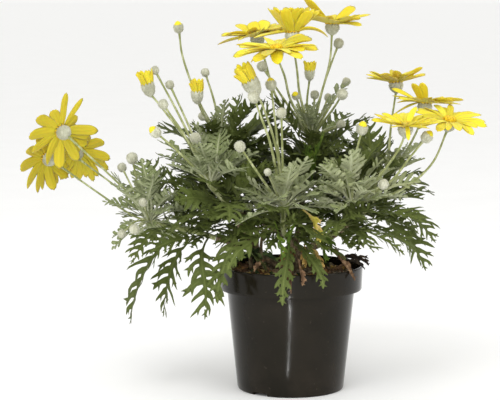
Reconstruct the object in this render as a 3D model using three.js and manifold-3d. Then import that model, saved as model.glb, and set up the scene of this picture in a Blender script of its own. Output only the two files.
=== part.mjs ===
// A bushy yellow marguerite daisy in a black nursery pot.
// Millimetres, +Z up, -Y is the front. The origin is the middle of the pot's foot.

import * as THREE from 'three';
import { mergeVertices } from 'three/addons/utils/BufferGeometryUtils.js';
import Module from 'manifold-3d';

const wasm = await Module();
wasm.setup();

// Sizes of the pot and of what fills it
const GAP = 0.3;
const POT = {
  height: 104,
  rimRadius: 60,
  rimBand: 20,
  neckRadius: 53.2,
  footRadius: 44.5,
  wall: 1.6,
  floorUnder: 2.5,
  floorTop: 4.3,
  sides: 26,
};
const CHANNELS = { count: 6, width: 14, startRadius: 14, firstAngle: 234, holeRadius: 4, holeAt: 31 };
const SOIL = { level: 92, lumps: 2.4, shaftRadius: 6.2, shaftFloor: 73.7 };

// Sizes of the growing parts
const WOOD_STEPS = 6;
const BRANCH = { from: 2.7, to: 2.3, sides: 4, limbSides: 5, steps: 2 };
const STALK = { foot: 1.05, tip: 0.9, sides: 3, steps: 1 };
const STEM = { radius: 2.2, sides: 4, steps: 2 };
const CROWN = { radius: 3.4, above: 2, stub: 5, rootAt: 1.8, stalkFrom: 1.8 };
const BLADE = { thick: 0.7, fold: 16, sample: 1.6 };
const ROOM = { low: [-270, -180, -10], high: [210, 200, 360], cell: 1.8 };
const GREEN_LEAF = { stalkShare: 0.26, lobeReach: 0.165, sweep: 0.9, rib: 1.7, root: 0.9 };
const LONG_LEAF = 68;
const YOUNG_LEAF = { stalkShare: 0.2, lobeReach: 0.19, sweep: 0.55, rib: 2.6, root: 1.0 };
const YOUNG = { riseSpread: 40, length: 32, lengthSpread: 12, sag: 30, lobes: 3, free: 12 };
const GREEN_MORE = { rise: -22, riseAlong: 62, riseSpread: 16, length: 50, lengthSpread: 16, sag: 48 };
const GREEN_FREE = 9;
const CUP = { radius: 6.2, mouth: 5, shoulder: 3, depth: 8.5, sides: 8, ball: 6, stalkInto: 6.5 };
const RING = { bottom: 0.3, top: 1.5 };
const PETAL = { clearFrom: 5, start: 4.8, level: 0.9, thick: 0.65, root: 0.9, widest: 0.66, share: 0.285 };
const DISC = { bottom: 1.8, foot: 4.6, radius: 5.5, height: 3.5, sides: 8 };
const TUFT = {
  folds: 10,
  hollow: 7,
  ball: 5,
  cupBall: 5.1,
  rings: [[3.6, 3.6, 0.3, 0.3], [5.4, 4.5, 7, 7], [6.2, 4.8, 14, 10.5]],
};

// What a leaf or petal tries in turn until it is clear: parts of its length, and turns in degrees
const LEAF_TRIES = {
  scales: [1, 0.84, 0.7],
  tilts: [0, 12, -12, 24, -24],
  swings: [0, 12, -12, 24, -24, 38, -38, 54, -54],
};
const PETAL_NUDGES = [0, 8, -8, 16, -16, 26, -26, 38, -38];
const GOLDEN_TURN = 2.39996;
const SEEDS = { petals: 100, young: 300, green: 500 };

// Who holds which cells: a hundred to each node, counted on from these
const OWNERS = { wood: 101, branches: 111, leaves: 1000, crowns: 3000, blooms: 5000, tufts: 9001, young: 60 };

const GREEN = { color: 0x3f5a2b, roughness: 0.6 };
const FELT = { color: 0x93a378, roughness: 0.8 };
const YELLOW = { color: 0xe9d321, roughness: 0.6 };
const BROWN = { color: 0x6d4a26, roughness: 0.9 };
const BARK = { color: 0x5c4a35, roughness: 0.85 };
const BLACK = { color: 0x0c0c0d, roughness: 0.28 };
const EARTH = { color: 0x2b2019, roughness: 0.95 };
const GOLD = { color: 0xd9a514, roughness: 0.75 };

// Woody stems: each runs through these points, from one radius to the other
const WOOD = {
  trunk: { path: [[0, 0, 74], [0, 0, 101]], radii: [4.8, 4.4] },
  leftLimb: { path: [[0, 0, 98], [-14, -3, 106], [-30, -6, 117]], radii: [3.4, 2.9] },
  frontLimb: { path: [[0, -1, 98], [5, -9, 107], [8, -17, 116]], radii: [3.4, 2.9] },
  backLimb: { path: [[0, 1, 98], [3, 11, 110], [5, 20, 121]], radii: [3.4, 2.9] },
};

// Shoots: where the wood runs to, where the hub of young leaves sits, how many leaves a rule adds,
// and how many young leaves fan out of the hub, rising by at least so many degrees.
// A leaf placed by hand gives its place along the green stem, its tip and its sag in degrees.
const SHOOTS = {
  far_left: {
    wood: [[-28, -6, 116], [-45, -8, 122], [-62, -7, 127]],
    hub: [-117, -8, 141],
    leaves: [
      [0.95, [-156, -14, 150], 40],
      [0.8, [-146, -34, 113], 60],
      [0.7, [-133, -22, 60], 50],
      [0.35, [-106, -24, 66], 55],
      [0.9, [-124, 38, 186], 30],
      [0.1, [-72, -60, 70], 60],
      [0.5, [-112, 52, 112], 60],
    ],
    more: 2,
    young: 3,
    rise: 28,
  },
  left: {
    wood: [[-28, -6, 116], [-37, -12, 129], [-44, -19, 142]],
    hub: [-66, -32, 174],
    leaves: [
      [0.7, [-112, -48, 176], 35],
      [0.3, [-98, -66, 138], 60],
      [0.5, [-52, -96, 152], 60],
      [0.1, [-66, -62, 84], 50],
      [0.85, [-122, -12, 196], 30],
    ],
    more: 2,
    young: 5,
    rise: 26,
  },
  upper_left: {
    wood: [[-28, -5, 116], [-37, 9, 136], [-43, 20, 156]],
    hub: [-58, 40, 205],
    leaves: [
      [0.9, [-63, 50, 246], 20],
      [0.8, [-32, 52, 240], 25],
      [0.6, [-112, 48, 214], 35],
      [0.3, [-94, 78, 170], 50],
      [0.4, [-60, 98, 190], 50],
    ],
    more: 2,
    young: 0,
    rise: 28,
  },
  front: {
    wood: [[8, -16, 115], [2, -22, 121], [-2, -26, 128]],
    hub: [-7, -42, 155],
    leaves: [
      [0.2, [-6, -76, 84], 70],
      [0.5, [-48, -84, 112], 70],
      [0.1, [22, -70, 96], 70],
      [0.6, [20, -98, 132], 60],
      [0.8, [-44, -92, 160], 50],
    ],
    more: 1,
    young: 5,
    rise: 10,
  },
  front_right: {
    wood: [[8, -16, 115], [20, -24, 125], [30, -28, 132]],
    hub: [48, -42, 159],
    leaves: [
      [0.2, [64, -84, 126], 60],
      [0.6, [84, -76, 122], 60],
      [0.8, [104, -62, 146], 50],
      [0.4, [34, -96, 128], 60],
    ],
    more: 1,
    young: 6,
    rise: 18,
  },
  right: {
    wood: [[8, -15, 115], [32, -2, 126], [54, 11, 141]],
    hub: [82, 25, 174],
    leaves: [
      [0.95, [116, 20, 168], 40],
      [0.6, [120, -2, 124], 60],
      [0.4, [111, -12, 102], 60],
      [0.1, [82, -34, 113], 60],
      [0.7, [122, 46, 158], 50],
      [0.9, [98, 50, 206], 30],
      [0.8, [58, 56, 216], 30],
      [0.3, [96, 66, 116], 60],
    ],
    more: 2,
    young: 1,
    rise: 26,
  },
  top: {
    wood: [[5, 19, 120], [8, 21, 137], [10, 22, 155]],
    hub: [18, 30, 207],
    leaves: [
      [0.9, [-4, 40, 250], 20],
      [0.85, [38, 56, 246], 25],
      [0.6, [70, 46, 228], 30],
      [0.5, [-38, 10, 200], 50],
      [0.3, [58, -8, 176], 50],
      [0.4, [10, -42, 190], 50],
      [0.75, [80, 26, 202], 35],
    ],
    more: 2,
    young: 2,
    rise: 34,
  },
  back_left: {
    wood: [[5, 19, 120], [-14, 37, 129], [-30, 52, 138]],
    hub: [-54, 82, 172],
    leaves: [],
    more: 6,
    young: 2,
    rise: 28,
  },
  back_right: {
    wood: [[5, 19, 120], [17, 42, 132], [27, 62, 141]],
    hub: [44, 94, 166],
    leaves: [],
    more: 6,
    young: 2,
    rise: 28,
  },
};

// Blooms: the shoot that carries each, the centre of its cup, the way it faces, the bends of its stalk,
// the number, reach, lift and sag of its petals, and petals that stand out as [lift, sag, reach]
const BLOOMS = {
  left_1: {
    shoot: 'far_left',
    at: [-188, -12, 216],
    face: [-0.5, 0.75, 0.3],
    bends: [[-137, -8, 167]],
    petals: 12,
    reach: 32,
    lift: 2,
    sag: 22,
    spin: 10,
    odd: { 1: [12, 24, 30], 8: [10, 20, 22], 9: [2, 8, 34], 10: [4, 8, 32], 11: [28, 10, 20] },
  },
  left_2: {
    shoot: 'far_left',
    at: [-181, 36, 195],
    face: [0.15, 0.85, 0.45],
    bends: [[-128, 10, 154]],
    petals: 12,
    reach: 30,
    lift: 2,
    sag: 26,
    spin: 0,
    odd: {},
  },
  left_3: {
    shoot: 'far_left',
    at: [-203, 12, 192],
    face: [-0.62, 0.6, 0.3],
    bends: [[-138, -1, 149]],
    petals: 11,
    reach: 32,
    lift: 2,
    sag: 26,
    spin: 24,
    odd: { 0: [2, 26, 19] },
  },
  top_1: {
    shoot: 'top',
    at: [-28, 55, 292],
    face: [-0.16, 0.02, 0.98],
    bends: [[-10, 42, 238], [-22, 51, 274]],
    petals: 12,
    reach: 34,
    lift: 9,
    sag: 12,
    spin: 6,
    odd: { 2: [36, 10, 27], 3: [42, 10, 25], 4: [36, 12, 29] },
  },
  top_2: {
    shoot: 'top',
    at: [-13, -45, 284],
    face: [-0.1, -0.17, 0.98],
    bends: [[0, -2, 240], [-6, -26, 262]],
    petals: 12,
    reach: 36,
    lift: 6,
    sag: 16,
    spin: 0,
    odd: { 7: [0, 40, 25], 9: [0, 50, 24] },
  },
  top_3: {
    shoot: 'top',
    at: [1, 5, 296],
    face: [-0.02, 0.02, 0.99],
    bends: [[8, 20, 243], [5, 13, 266]],
    petals: 12,
    reach: 30,
    lift: 47,
    sag: -6,
    spin: 12,
    odd: { 11: [24, 70, 31], 6: [-4, 10, 33] },
  },
  top_4: {
    shoot: 'top',
    at: [36, 50, 302],
    face: [0.04, 0.02, 0.99],
    bends: [[21, 34, 226], [33, 43, 268]],
    petals: 11,
    reach: 30,
    lift: 16,
    sag: 8,
    spin: 10,
    odd: { 0: [22, 8, 34], 1: [40, 6, 31], 5: [46, 6, 34], 6: [44, 6, 35], 10: [6, 16, 26] },
  },
  right_1: {
    shoot: 'right',
    at: [90, 45, 253],
    face: [-0.04, 0.02, 0.99],
    bends: [[85, 35, 213]],
    petals: 12,
    reach: 28,
    lift: 27,
    sag: 8,
    spin: 0,
    odd: {},
  },
  right_2: {
    shoot: 'right',
    at: [112, 15, 237],
    face: [0.06, 0.04, 0.99],
    bends: [[96, 21, 195], [105, 19, 212]],
    petals: 12,
    reach: 31,
    lift: 12,
    sag: 16,
    spin: 14,
    odd: { 8: [60, 10, 25], 7: [56, 10, 25], 5: [28, 10, 31], 6: [-18, 20, 31] },
  },
  right_3: {
    shoot: 'front_right',
    at: [90, -55, 223],
    face: [0.04, -0.1, 0.99],
    bends: [[70, -47, 183], [84, -52, 203]],
    petals: 12,
    reach: 29,
    lift: 16,
    sag: 10,
    spin: 4,
    odd: { 9: [0, 70, 20], 2: [44, 10, 25] },
  },
  right_4: {
    shoot: 'front_right',
    at: [128, -25, 225],
    face: [0.14, -0.26, 0.95],
    bends: [[86, -36, 169], [113, -30, 190]],
    petals: 12,
    reach: 31,
    lift: 12,
    sag: 22,
    spin: 8,
    odd: {},
  },
};

// Half-open flowers: the shoot, the centre of the cup, the way each faces and its size
const TUFTS = {
  left: {
    shoot: 'left',
    at: [-117, -20, 253],
    face: [-0.3, -0.05, 0.95],
    size: 0.95,
    bends: [[-83, -27, 206], [-104, -23, 234]],
  },
  centre: {
    shoot: 'front',
    at: [-33, -35, 256],
    face: [-0.52, -0.1, 0.85],
    size: 1.2,
    bends: [[-12, -38, 200], [-22, -36, 234]],
  },
  upper_left: {
    shoot: 'upper_left',
    at: [-78, 10, 245],
    face: [-0.05, 0, 0.99],
    size: 0.88,
    bends: [[-72, 22, 226]],
  },
  top: {
    shoot: 'top',
    at: [16, 26, 262],
    face: [0, 0, 1],
    size: 0.72,
    bends: [[14, 28, 235]],
  },
};

// Round buds: the shoot, the centre, the radius, the bends of the stalk, and whether yellow shows
const BUDS = [
  {
    shoot: 'upper_left', at: [-94, 30, 300], radius: 4.4, yellow: true,
    bends: [[-76, 37, 235], [-90, 33, 273]],
  },
  { shoot: 'left', at: [-100, -5, 254], radius: 3.6, bends: [[-82, -18, 216]] },
  { shoot: 'left', at: [-110, -45, 218], radius: 4.6, yellow: true, bends: [[-92, -41, 202]] },
  { shoot: 'front', at: [-17, -24, 255], radius: 4.6, yellow: true, bends: [[-12, -34, 210]] },
  { shoot: 'front_right', at: [55, -60, 222], radius: 4.8, yellow: true, bends: [[50, -53, 196]] },
  {
    shoot: 'front_right', at: [108, -45, 214], radius: 4.8, yellow: true,
    bends: [[78, -44, 177], [95, -44, 198]],
  },
  { shoot: 'top', at: [4, 8, 244], radius: 3.4, yellow: true, bends: [[10, 20, 228]] },
  { shoot: 'left', at: [-112, -8, 266], radius: 3.5, bends: [[-88, -20, 222]] },
  { shoot: 'left', at: [-104, -38, 240], radius: 4.1, bends: [[-84, -36, 210]] },
  { shoot: 'upper_left', at: [-72, 42, 262], radius: 3.6, bends: [[-64, 40, 236]] },
  { shoot: 'left', at: [-78, -44, 213], radius: 4.4, bends: [[-67, -38, 194]] },
  { shoot: 'upper_left', at: [-74, 24, 226], radius: 3.6, bends: [] },
  { shoot: 'far_left', at: [-131, -12, 194], radius: 4.7, bends: [[-126, -9, 170]] },
  { shoot: 'far_left', at: [-141, 12, 184], radius: 3.8, bends: [[-131, 2, 166]] },
  { shoot: 'front', at: [-42, -75, 209], radius: 4.3, bends: [[-28, -62, 187]] },
  { shoot: 'front', at: [-31, -57, 247], radius: 4.8, bends: [[-17, -50, 206], [-25, -54, 230]] },
  { shoot: 'top', at: [-24, 20, 268], radius: 4.2, bends: [[-4, 24, 238]] },
  { shoot: 'front', at: [-9, -52, 234], radius: 4.1, bends: [[-8, -48, 200]] },
  { shoot: 'top', at: [42, 62, 286], radius: 4.3, bends: [[28, 48, 248]] },
  { shoot: 'top', at: [21, 44, 243], radius: 3.7, bends: [] },
  { shoot: 'top', at: [33, 56, 240], radius: 3.4, bends: [] },
  { shoot: 'top', at: [48, 46, 254], radius: 3.5, bends: [[33, 40, 232]] },
  { shoot: 'top', at: [42, -4, 246], radius: 4.5, bends: [[27, 18, 221], [36, 5, 235]] },
  { shoot: 'top', at: [42, 12, 220], radius: 3.7, bends: [] },
  { shoot: 'front_right', at: [72, -64, 178], radius: 4.1, bends: [] },
  { shoot: 'far_left', at: [-121, -34, 160], radius: 3.4, bends: [] },
  { shoot: 'far_left', at: [-127, -50, 140], radius: 4.1, bends: [[-121, -30, 143]] },
  { shoot: 'far_left', at: [-139, -26, 133], radius: 3.4, bends: [[-128, -16, 142]] },
  { shoot: 'front', at: [-20, -68, 188], radius: 2.9, bends: [] },
  { shoot: 'back_left', at: [-78, 104, 204], radius: 4, bends: [[-66, 92, 190]] },
  { shoot: 'back_right', at: [34, 118, 200], radius: 4.2, bends: [] },
];

// Dead leaves on the compost: the middle, the turn in degrees and the length
const DEAD_LEAVES = [
  { at: [-27, -31], turn: 20, length: 24 },
  { at: [31, -29], turn: 130, length: 24 },
  { at: [9, -43], turn: -12, length: 22 },
];

const UP = new THREE.Vector3(0, 0, 1);
const deg = THREE.MathUtils.degToRad;

function vec(list) {
  return new THREE.Vector3(list[0], list[1], list[2]);
}

/** A repeatable stream of numbers from 0 to 1. */
function seeded(seed) {
  let state = seed;
  return () => {
    state = (state * 1664525 + 1013904223) % 4294967296;
    return state / 4294967296;
  };
}

/** Closed geometry as a solid, with its faces turned outwards. */
function solidOf(geometry) {
  const bare = geometry.clone();
  bare.deleteAttribute('normal');
  bare.deleteAttribute('uv');
  const merged = mergeVertices(bare, 1e-4);
  const place = merged.attributes.position;
  const corners = [];
  for (let i = 0; i < merged.index.count; i += 3) {
    const [a, b, c] = [0, 1, 2].map((k) => merged.index.getX(i + k));
    if (a !== b && b !== c && c !== a) corners.push(a, b, c);
  }
  let volume = 0;
  const [p, q, r] = [new THREE.Vector3(), new THREE.Vector3(), new THREE.Vector3()];
  for (let i = 0; i < corners.length; i += 3) {
    p.fromBufferAttribute(place, corners[i]);
    q.fromBufferAttribute(place, corners[i + 1]);
    r.fromBufferAttribute(place, corners[i + 2]);
    volume += p.dot(q.cross(r));
  }
  if (volume < 0) corners.reverse();
  const mesh = new wasm.Mesh({
    numProp: 3,
    vertProperties: new Float32Array(place.array),
    triVerts: new Uint32Array(corners),
  });
  return new wasm.Manifold(mesh);
}

function fromFaces(points, faces) {
  const geometry = new THREE.BufferGeometry();
  geometry.setAttribute('position', new THREE.Float32BufferAttribute(points.flatMap((p) => p.toArray()), 3));
  geometry.setIndex(faces.flat());
  return geometry;
}

/** One solid from many that run into each other; hollows sealed by the joins are filled. */
function fuse(solids) {
  const joined = wasm.Manifold.union(solids).simplify(0.02);
  const bodies = joined.decompose().filter((body) => body.volume() > 0);
  if (bodies.length > 1) throw new Error('the joined pieces fall into ' + bodies.length + ' bodies');
  return bodies[0];
}

function meshOf(name, solid, look) {
  const data = solid.getMesh();
  const geometry = new THREE.BufferGeometry();
  geometry.setAttribute('position', new THREE.BufferAttribute(data.vertProperties, 3));
  geometry.setIndex(new THREE.BufferAttribute(data.triVerts, 1));
  geometry.computeVertexNormals();
  const mesh = new THREE.Mesh(geometry, new THREE.MeshStandardMaterial({ metalness: 0, ...look }));
  mesh.name = name;
  return mesh;
}

/** A turned shape from [radius, height] pairs, standing on +Z. */
function turned(profile, sides) {
  const geometry = new THREE.LatheGeometry(profile.map(([r, h]) => new THREE.Vector2(r, h)), sides);
  return geometry.rotateX(Math.PI / 2);
}

/** The turn that brings +Z to a facing, with +X kept as near the world's right as it can be. */
function facingMatrix(at, face) {
  const axis = face.clone().normalize();
  const right = new THREE.Vector3(1, 0, 0).addScaledVector(axis, -axis.x).normalize();
  const back = new THREE.Vector3().crossVectors(axis, right);
  return new THREE.Matrix4().makeBasis(right, back, axis).setPosition(at);
}

/** Points evenly spread in parameter along a smooth curve through the given ones. */
function smoothPath(points, steps) {
  const curve = new THREE.CatmullRomCurve3(points, false, 'catmullrom', 0.5);
  return curve.getPoints(steps);
}

function tangentAt(path, i) {
  const ahead = path[Math.min(i + 1, path.length - 1)];
  const behind = path[Math.max(i - 1, 0)];
  return ahead.clone().sub(behind).normalize();
}

/** A closed tapering tube along a path. */
function tube(path, radii, sides) {
  const points = [];
  const last = path.length - 1;
  let side = new THREE.Vector3(1, 0, 0.3);
  path.forEach((centre, i) => {
    const along = tangentAt(path, i);
    side.addScaledVector(along, -side.dot(along)).normalize();
    const across = new THREE.Vector3().crossVectors(along, side);
    const radius = THREE.MathUtils.lerp(radii[0], radii[1], i / last);
    for (let k = 0; k < sides; k += 1) {
      const turn = (2 * Math.PI * k) / sides;
      const rim = centre.clone().addScaledVector(side, radius * Math.cos(turn));
      points.push(rim.addScaledVector(across, radius * Math.sin(turn)));
    }
  });
  const faces = [];
  for (let i = 0; i < last; i += 1) {
    for (let k = 0; k < sides; k += 1) {
      const [a, b] = [i * sides + k, i * sides + ((k + 1) % sides)];
      faces.push([a, b, a + sides], [b, b + sides, a + sides]);
    }
  }
  for (let k = 1; k < sides - 1; k += 1) {
    faces.push([0, k + 1, k], [last * sides, last * sides + k, last * sides + k + 1]);
  }
  return solidOf(fromFaces(points, faces));
}

/** The room taken by what is already placed, in small cells that each know who is in them. */
class Room {
  constructor(low, high, cell) {
    this.low = low;
    this.cell = cell;
    this.size = low.map((value, k) => Math.ceil((high[k] - value) / cell));
    this.owners = new Int16Array(this.size[0] * this.size[1] * this.size[2]);
  }

  index(point) {
    return point.toArray().map((value, k) => Math.floor((value - this.low[k]) / this.cell));
  }

  nodeOf(owner) {
    return Math.floor(owner / 100);
  }

  /** Owners count from 1 within hundreds, one hundred to a node. */
  claim(points, owner) {
    const node = this.nodeOf(owner);
    points.forEach((point) => {
      const [i, j, k] = this.index(point);
      for (let a = i - 1; a <= i + 1; a += 1) {
        for (let b = j - 1; b <= j + 1; b += 1) {
          for (let c = k - 1; c <= k + 1; c += 1) {
            const at = (c * this.size[1] + b) * this.size[0] + a;
            const held = this.owners[at];
            if (held === 0) this.owners[at] = owner;
            else if (held !== owner) this.owners[at] = this.nodeOf(held) === node ? 100 * node : -1;
          }
        }
      }
    });
  }

  /** Whether any point lies in another's cells; near points may lie in their own node's. */
  blocked(points, owner, near) {
    const node = this.nodeOf(owner);
    return points.some((point, n) => {
      const [i, j, k] = this.index(point);
      const held = this.owners[(k * this.size[1] + j) * this.size[0] + i];
      if (held === 0 || held === owner) return false;
      return !(near[n] && this.nodeOf(held) === node);
    });
  }
}

const room = new Room(ROOM.low, ROOM.high, ROOM.cell);

/** Whether a point is in or right beside the pot, its rim or the compost. */
function inPot(point) {
  const radius = Math.hypot(point.x, point.y);
  if (point.z < 4) return true;
  if (point.z > POT.height + 2.5) return false;
  if (radius > POT.rimRadius + 2.5) return false;
  return !(radius < POT.rimRadius - 4 && point.z > SOIL.level + 5);
}

/** A blade's middle line: an arc from its root to its tip that sags by so many degrees on the way. */
class Arc {
  constructor(root, tip, sag, roll) {
    const chord = tip.clone().sub(root);
    const flat = Math.hypot(chord.x, chord.y);
    this.root = root;
    this.sag = Math.abs(sag) < 1 ? deg(1) : deg(sag);
    this.heading = new THREE.Vector3(chord.x / flat, chord.y / flat, 0);
    this.start = Math.atan2(chord.z, flat) + this.sag / 2;
    this.length = (chord.length() * this.sag) / 2 / Math.sin(this.sag / 2);
    this.roll = roll;
  }

  /** The place at u along, v to the left, raised off the face by lift, with the sides folded up. */
  at(u, v, lift, fold) {
    const bend = this.sag / this.length;
    const angle = this.start - bend * u;
    const ahead = (Math.sin(this.start) - Math.sin(angle)) / bend;
    const rise = (Math.cos(angle) - Math.cos(this.start)) / bend;
    const left = new THREE.Vector3(-this.heading.y, this.heading.x, 0);
    const out = this.heading.clone().multiplyScalar(-Math.sin(angle));
    out.z = Math.cos(angle);
    const side = left.clone().multiplyScalar(Math.cos(this.roll)).addScaledVector(out, Math.sin(this.roll));
    const face = out.multiplyScalar(Math.cos(this.roll)).addScaledVector(left, -Math.sin(this.roll));
    const point = this.root.clone().addScaledVector(this.heading, ahead);
    point.z += rise;
    point.addScaledVector(side, v * Math.cos(fold));
    return point.addScaledVector(face, Math.abs(v) * Math.sin(fold) + lift);
  }
}

/** The cut outline of a leaf laid flat, as notches beside the rib and lobe tips between them. */
function leafOutline(form, length, lobes) {
  const notches = [];
  const tips = [];
  const from = form.stalkShare * length;
  const to = 0.93 * length;
  for (let i = 0; i <= lobes; i += 1) {
    const share = i / lobes;
    notches.push([from + (to - from) * share, form.rib * (0.65 + 0.5 * Math.sin(Math.PI * share))]);
  }
  for (let i = 0; i < lobes; i += 1) {
    const share = (i + 0.5) / lobes;
    const reach = form.lobeReach * length * (0.62 + 0.5 * Math.sin(Math.PI * Math.pow(share, 0.85)));
    tips.push([from + (to - from) * share + form.sweep * reach, reach]);
  }
  return { notches, tips, root: form.root, length };
}

/** One thin arched leaf, cut to the rib on both sides. */
function leafSolid(arc, outline, fold) {
  const rows = [[0, outline.root], ...outline.notches];
  const flat = [];
  rows.forEach(([u, v]) => flat.push([u, v], [u, -v]));
  const firstTip = flat.length;
  outline.tips.forEach(([u, v]) => flat.push([u, v], [u, -v]));
  const end = flat.length;
  flat.push([outline.length, 0]);
  const top = [];
  for (let i = 0; i < rows.length - 1; i += 1) {
    const [a, b, c, d] = [2 * i, 2 * i + 1, 2 * i + 2, 2 * i + 3];
    top.push([a, b, c], [b, d, c]);
    if (i > 0) {
      const tip = firstTip + 2 * (i - 1);
      top.push([a, c, tip], [b, tip + 1, d]);
    }
  }
  top.push([2 * rows.length - 2, 2 * rows.length - 1, end]);
  const left = [];
  const right = [];
  rows.forEach((row, i) => {
    left.push(2 * i);
    right.push(2 * i + 1);
    if (i > 0 && i < rows.length - 1) {
      left.push(firstTip + 2 * (i - 1));
      right.push(firstTip + 2 * (i - 1) + 1);
    }
  });
  return bladeSolid(arc, flat, top, [...right, end, ...left.reverse()], BLADE.thick, fold);
}

/** A thin solid with the same triangles on both faces and a wall round its edge. */
function bladeSolid(arc, flat, top, edge, thick, fold) {
  const count = flat.length;
  const points = [thick / 2, -thick / 2].flatMap((lift) => flat.map(([u, v]) => arc.at(u, v, lift, fold)));
  const faces = top.flatMap(([a, b, c]) => [[a, b, c], [a + count, c + count, b + count]]);
  edge.forEach((a, i) => {
    const b = edge[(i + 1) % edge.length];
    faces.push([b, a, a + count], [b, a + count, b + count]);
  });
  return solidOf(fromFaces(points, faces));
}

/** Points along a straight line on a blade, closer together than the room's cells. */
function lineOn(arc, from, to, fold) {
  const steps = Math.max(1, Math.ceil(Math.hypot(to[0] - from[0], to[1] - from[1]) / BLADE.sample));
  return Array.from({ length: steps + 1 }, (_, i) => {
    const [u, v] = [0, 1].map((k) => from[k] + ((to[k] - from[k]) * i) / steps);
    return { u, point: arc.at(u, v, 0, fold) };
  });
}

function leafSamples(arc, outline, fold) {
  const samples = lineOn(arc, [0, 0], [outline.length, 0], fold);
  outline.tips.forEach((tip, i) => {
    [1, -1].forEach((side) => {
      const end = [tip[0], side * tip[1]];
      const [low, high] = [outline.notches[i], outline.notches[i + 1]];
      samples.push(...lineOn(arc, [low[0], side * low[1]], end, fold));
      samples.push(...lineOn(arc, [high[0], side * high[1]], end, fold));
      samples.push(...lineOn(arc, [(low[0] + high[0]) / 2, 0], end, fold));
    });
  });
  return samples;
}

/** Tries a leaf as wanted, then swung, tilted and shortened, until it is clear of all else. */
function growLeaf(root, tip, sag, roll, form, lobes, owner, free) {
  const chord = tip.clone().sub(root);
  const fold = deg(BLADE.fold);
  for (const scale of LEAF_TRIES.scales) {
    for (const tilt of LEAF_TRIES.tilts) {
      for (const swing of LEAF_TRIES.swings) {
        const turned = chord.clone().applyAxisAngle(UP, deg(swing));
        const level = new THREE.Vector3(-turned.y, turned.x, 0).normalize();
        turned.applyAxisAngle(level, deg(-tilt)).multiplyScalar(scale);
        const arc = new Arc(root, root.clone().add(turned), sag, roll);
        const outline = leafOutline(form, arc.length, lobes);
        const samples = leafSamples(arc, outline, fold);
        const points = samples.map((sample) => sample.point);
        const near = samples.map((sample) => sample.u < free);
        const potted = samples.some((sample) => sample.u > free && inPot(sample.point));
        if (!potted && !room.blocked(points, owner, near)) {
          room.claim(points, owner);
          return leafSolid(arc, outline, fold);
        }
      }
    }
  }
  return null;
}

/** The pot: a tapering wall, a deep rim band, and a floor with channels and drain holes under it. */
function makePot() {
  const step = POT.height - POT.rimBand;
  const { neckRadius: neck, rimRadius: rim, footRadius: foot, wall, floorTop } = POT;
  const body = solidOf(turned([
    [0, 0],
    [foot - 1.6, 0],
    [foot, 1.8],
    [neck, step],
    [rim - 0.8, step],
    [rim, POT.height - 1.4],
    [rim - 0.7, POT.height],
    [rim - 1.9, POT.height - 0.3],
    [rim - wall - 0.7, step + wall],
    [neck - wall, step + wall],
    [foot - wall + 0.2, floorTop + 2],
    [foot - wall - 2, floorTop],
    [0, floorTop],
  ], POT.sides));
  const cuts = [];
  for (let i = 0; i < CHANNELS.count; i += 1) {
    const angle = deg(CHANNELS.firstAngle + (360 / CHANNELS.count) * i);
    const length = foot + 4 - CHANNELS.startRadius;
    const slot = new THREE.BoxGeometry(length, CHANNELS.width, 2 * POT.floorUnder);
    slot.translate(CHANNELS.startRadius + length / 2, 0, 0).rotateZ(angle);
    const hole = new THREE.CylinderGeometry(CHANNELS.holeRadius, CHANNELS.holeRadius, 4 * floorTop, 8);
    hole.rotateX(Math.PI / 2).translate(CHANNELS.holeAt, 0, 0).rotateZ(angle);
    cuts.push(solidOf(slot), solidOf(hole));
  }
  return meshOf('pot', body.subtract(wasm.Manifold.union(cuts)), BLACK);
}

/** The height of the lumpy compost at a place. */
function soilHeight(x, y) {
  const coarse = Math.sin(0.16 * x + 1.3) * Math.cos(0.14 * y - 0.4);
  const fine = Math.sin(0.37 * x - 0.29 * y + 2) + 0.6 * Math.cos(0.33 * x + 0.41 * y);
  return SOIL.level + SOIL.lumps * coarse + 0.9 * fine;
}

function makeSoil() {
  const step = POT.height - POT.rimBand;
  const under = POT.neckRadius - POT.wall - GAP - 0.1;
  const edge = POT.rimRadius - POT.wall - 1.1 - GAP;
  const rings = [1, 0.72, 0.4, 0].map((share) => [edge * share, SOIL.level]);
  const geometry = turned([
    [0, POT.floorTop + GAP],
    [POT.footRadius - POT.wall - 2.6, POT.floorTop + GAP],
    [POT.footRadius - POT.wall - 0.4, POT.floorTop + 2 + GAP],
    [under, step + POT.wall + GAP],
    [edge, step + POT.wall + GAP],
    ...rings,
  ], POT.sides);
  const place = geometry.attributes.position;
  for (let i = 0; i < place.count; i += 1) {
    if (place.getZ(i) > SOIL.level - 0.5) place.setZ(i, soilHeight(place.getX(i), place.getY(i)));
  }
  const depth = 40;
  const shaft = new THREE.CylinderGeometry(SOIL.shaftRadius, SOIL.shaftRadius, depth, 8);
  shaft.rotateX(Math.PI / 2).translate(0, 0, SOIL.shaftFloor + depth / 2);
  return solidOf(geometry).subtract(solidOf(shaft));
}

/** A curled dead leaf, let down on the compost until it lies just clear of it. */
function makeDeadLeaf(spot, soil) {
  const [x, y] = spot.at;
  const half = new THREE.Vector3(Math.cos(deg(spot.turn)), Math.sin(deg(spot.turn)), 0);
  half.multiplyScalar(spot.length / 2);
  const height = soilHeight(x, y) + 4;
  const middle = new THREE.Vector3(x, y, height);
  const arc = new Arc(middle.clone().sub(half), middle.clone().add(half), 40, 0.2);
  let leaf = leafSolid(arc, leafOutline(GREEN_LEAF, arc.length, 2), deg(BLADE.fold));
  const drop = 0.1;
  while (leaf.intersect(soil).isEmpty()) leaf = leaf.translate([0, 0, -drop]);
  return leaf.translate([0, 0, drop + GAP - 0.05]);
}

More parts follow.
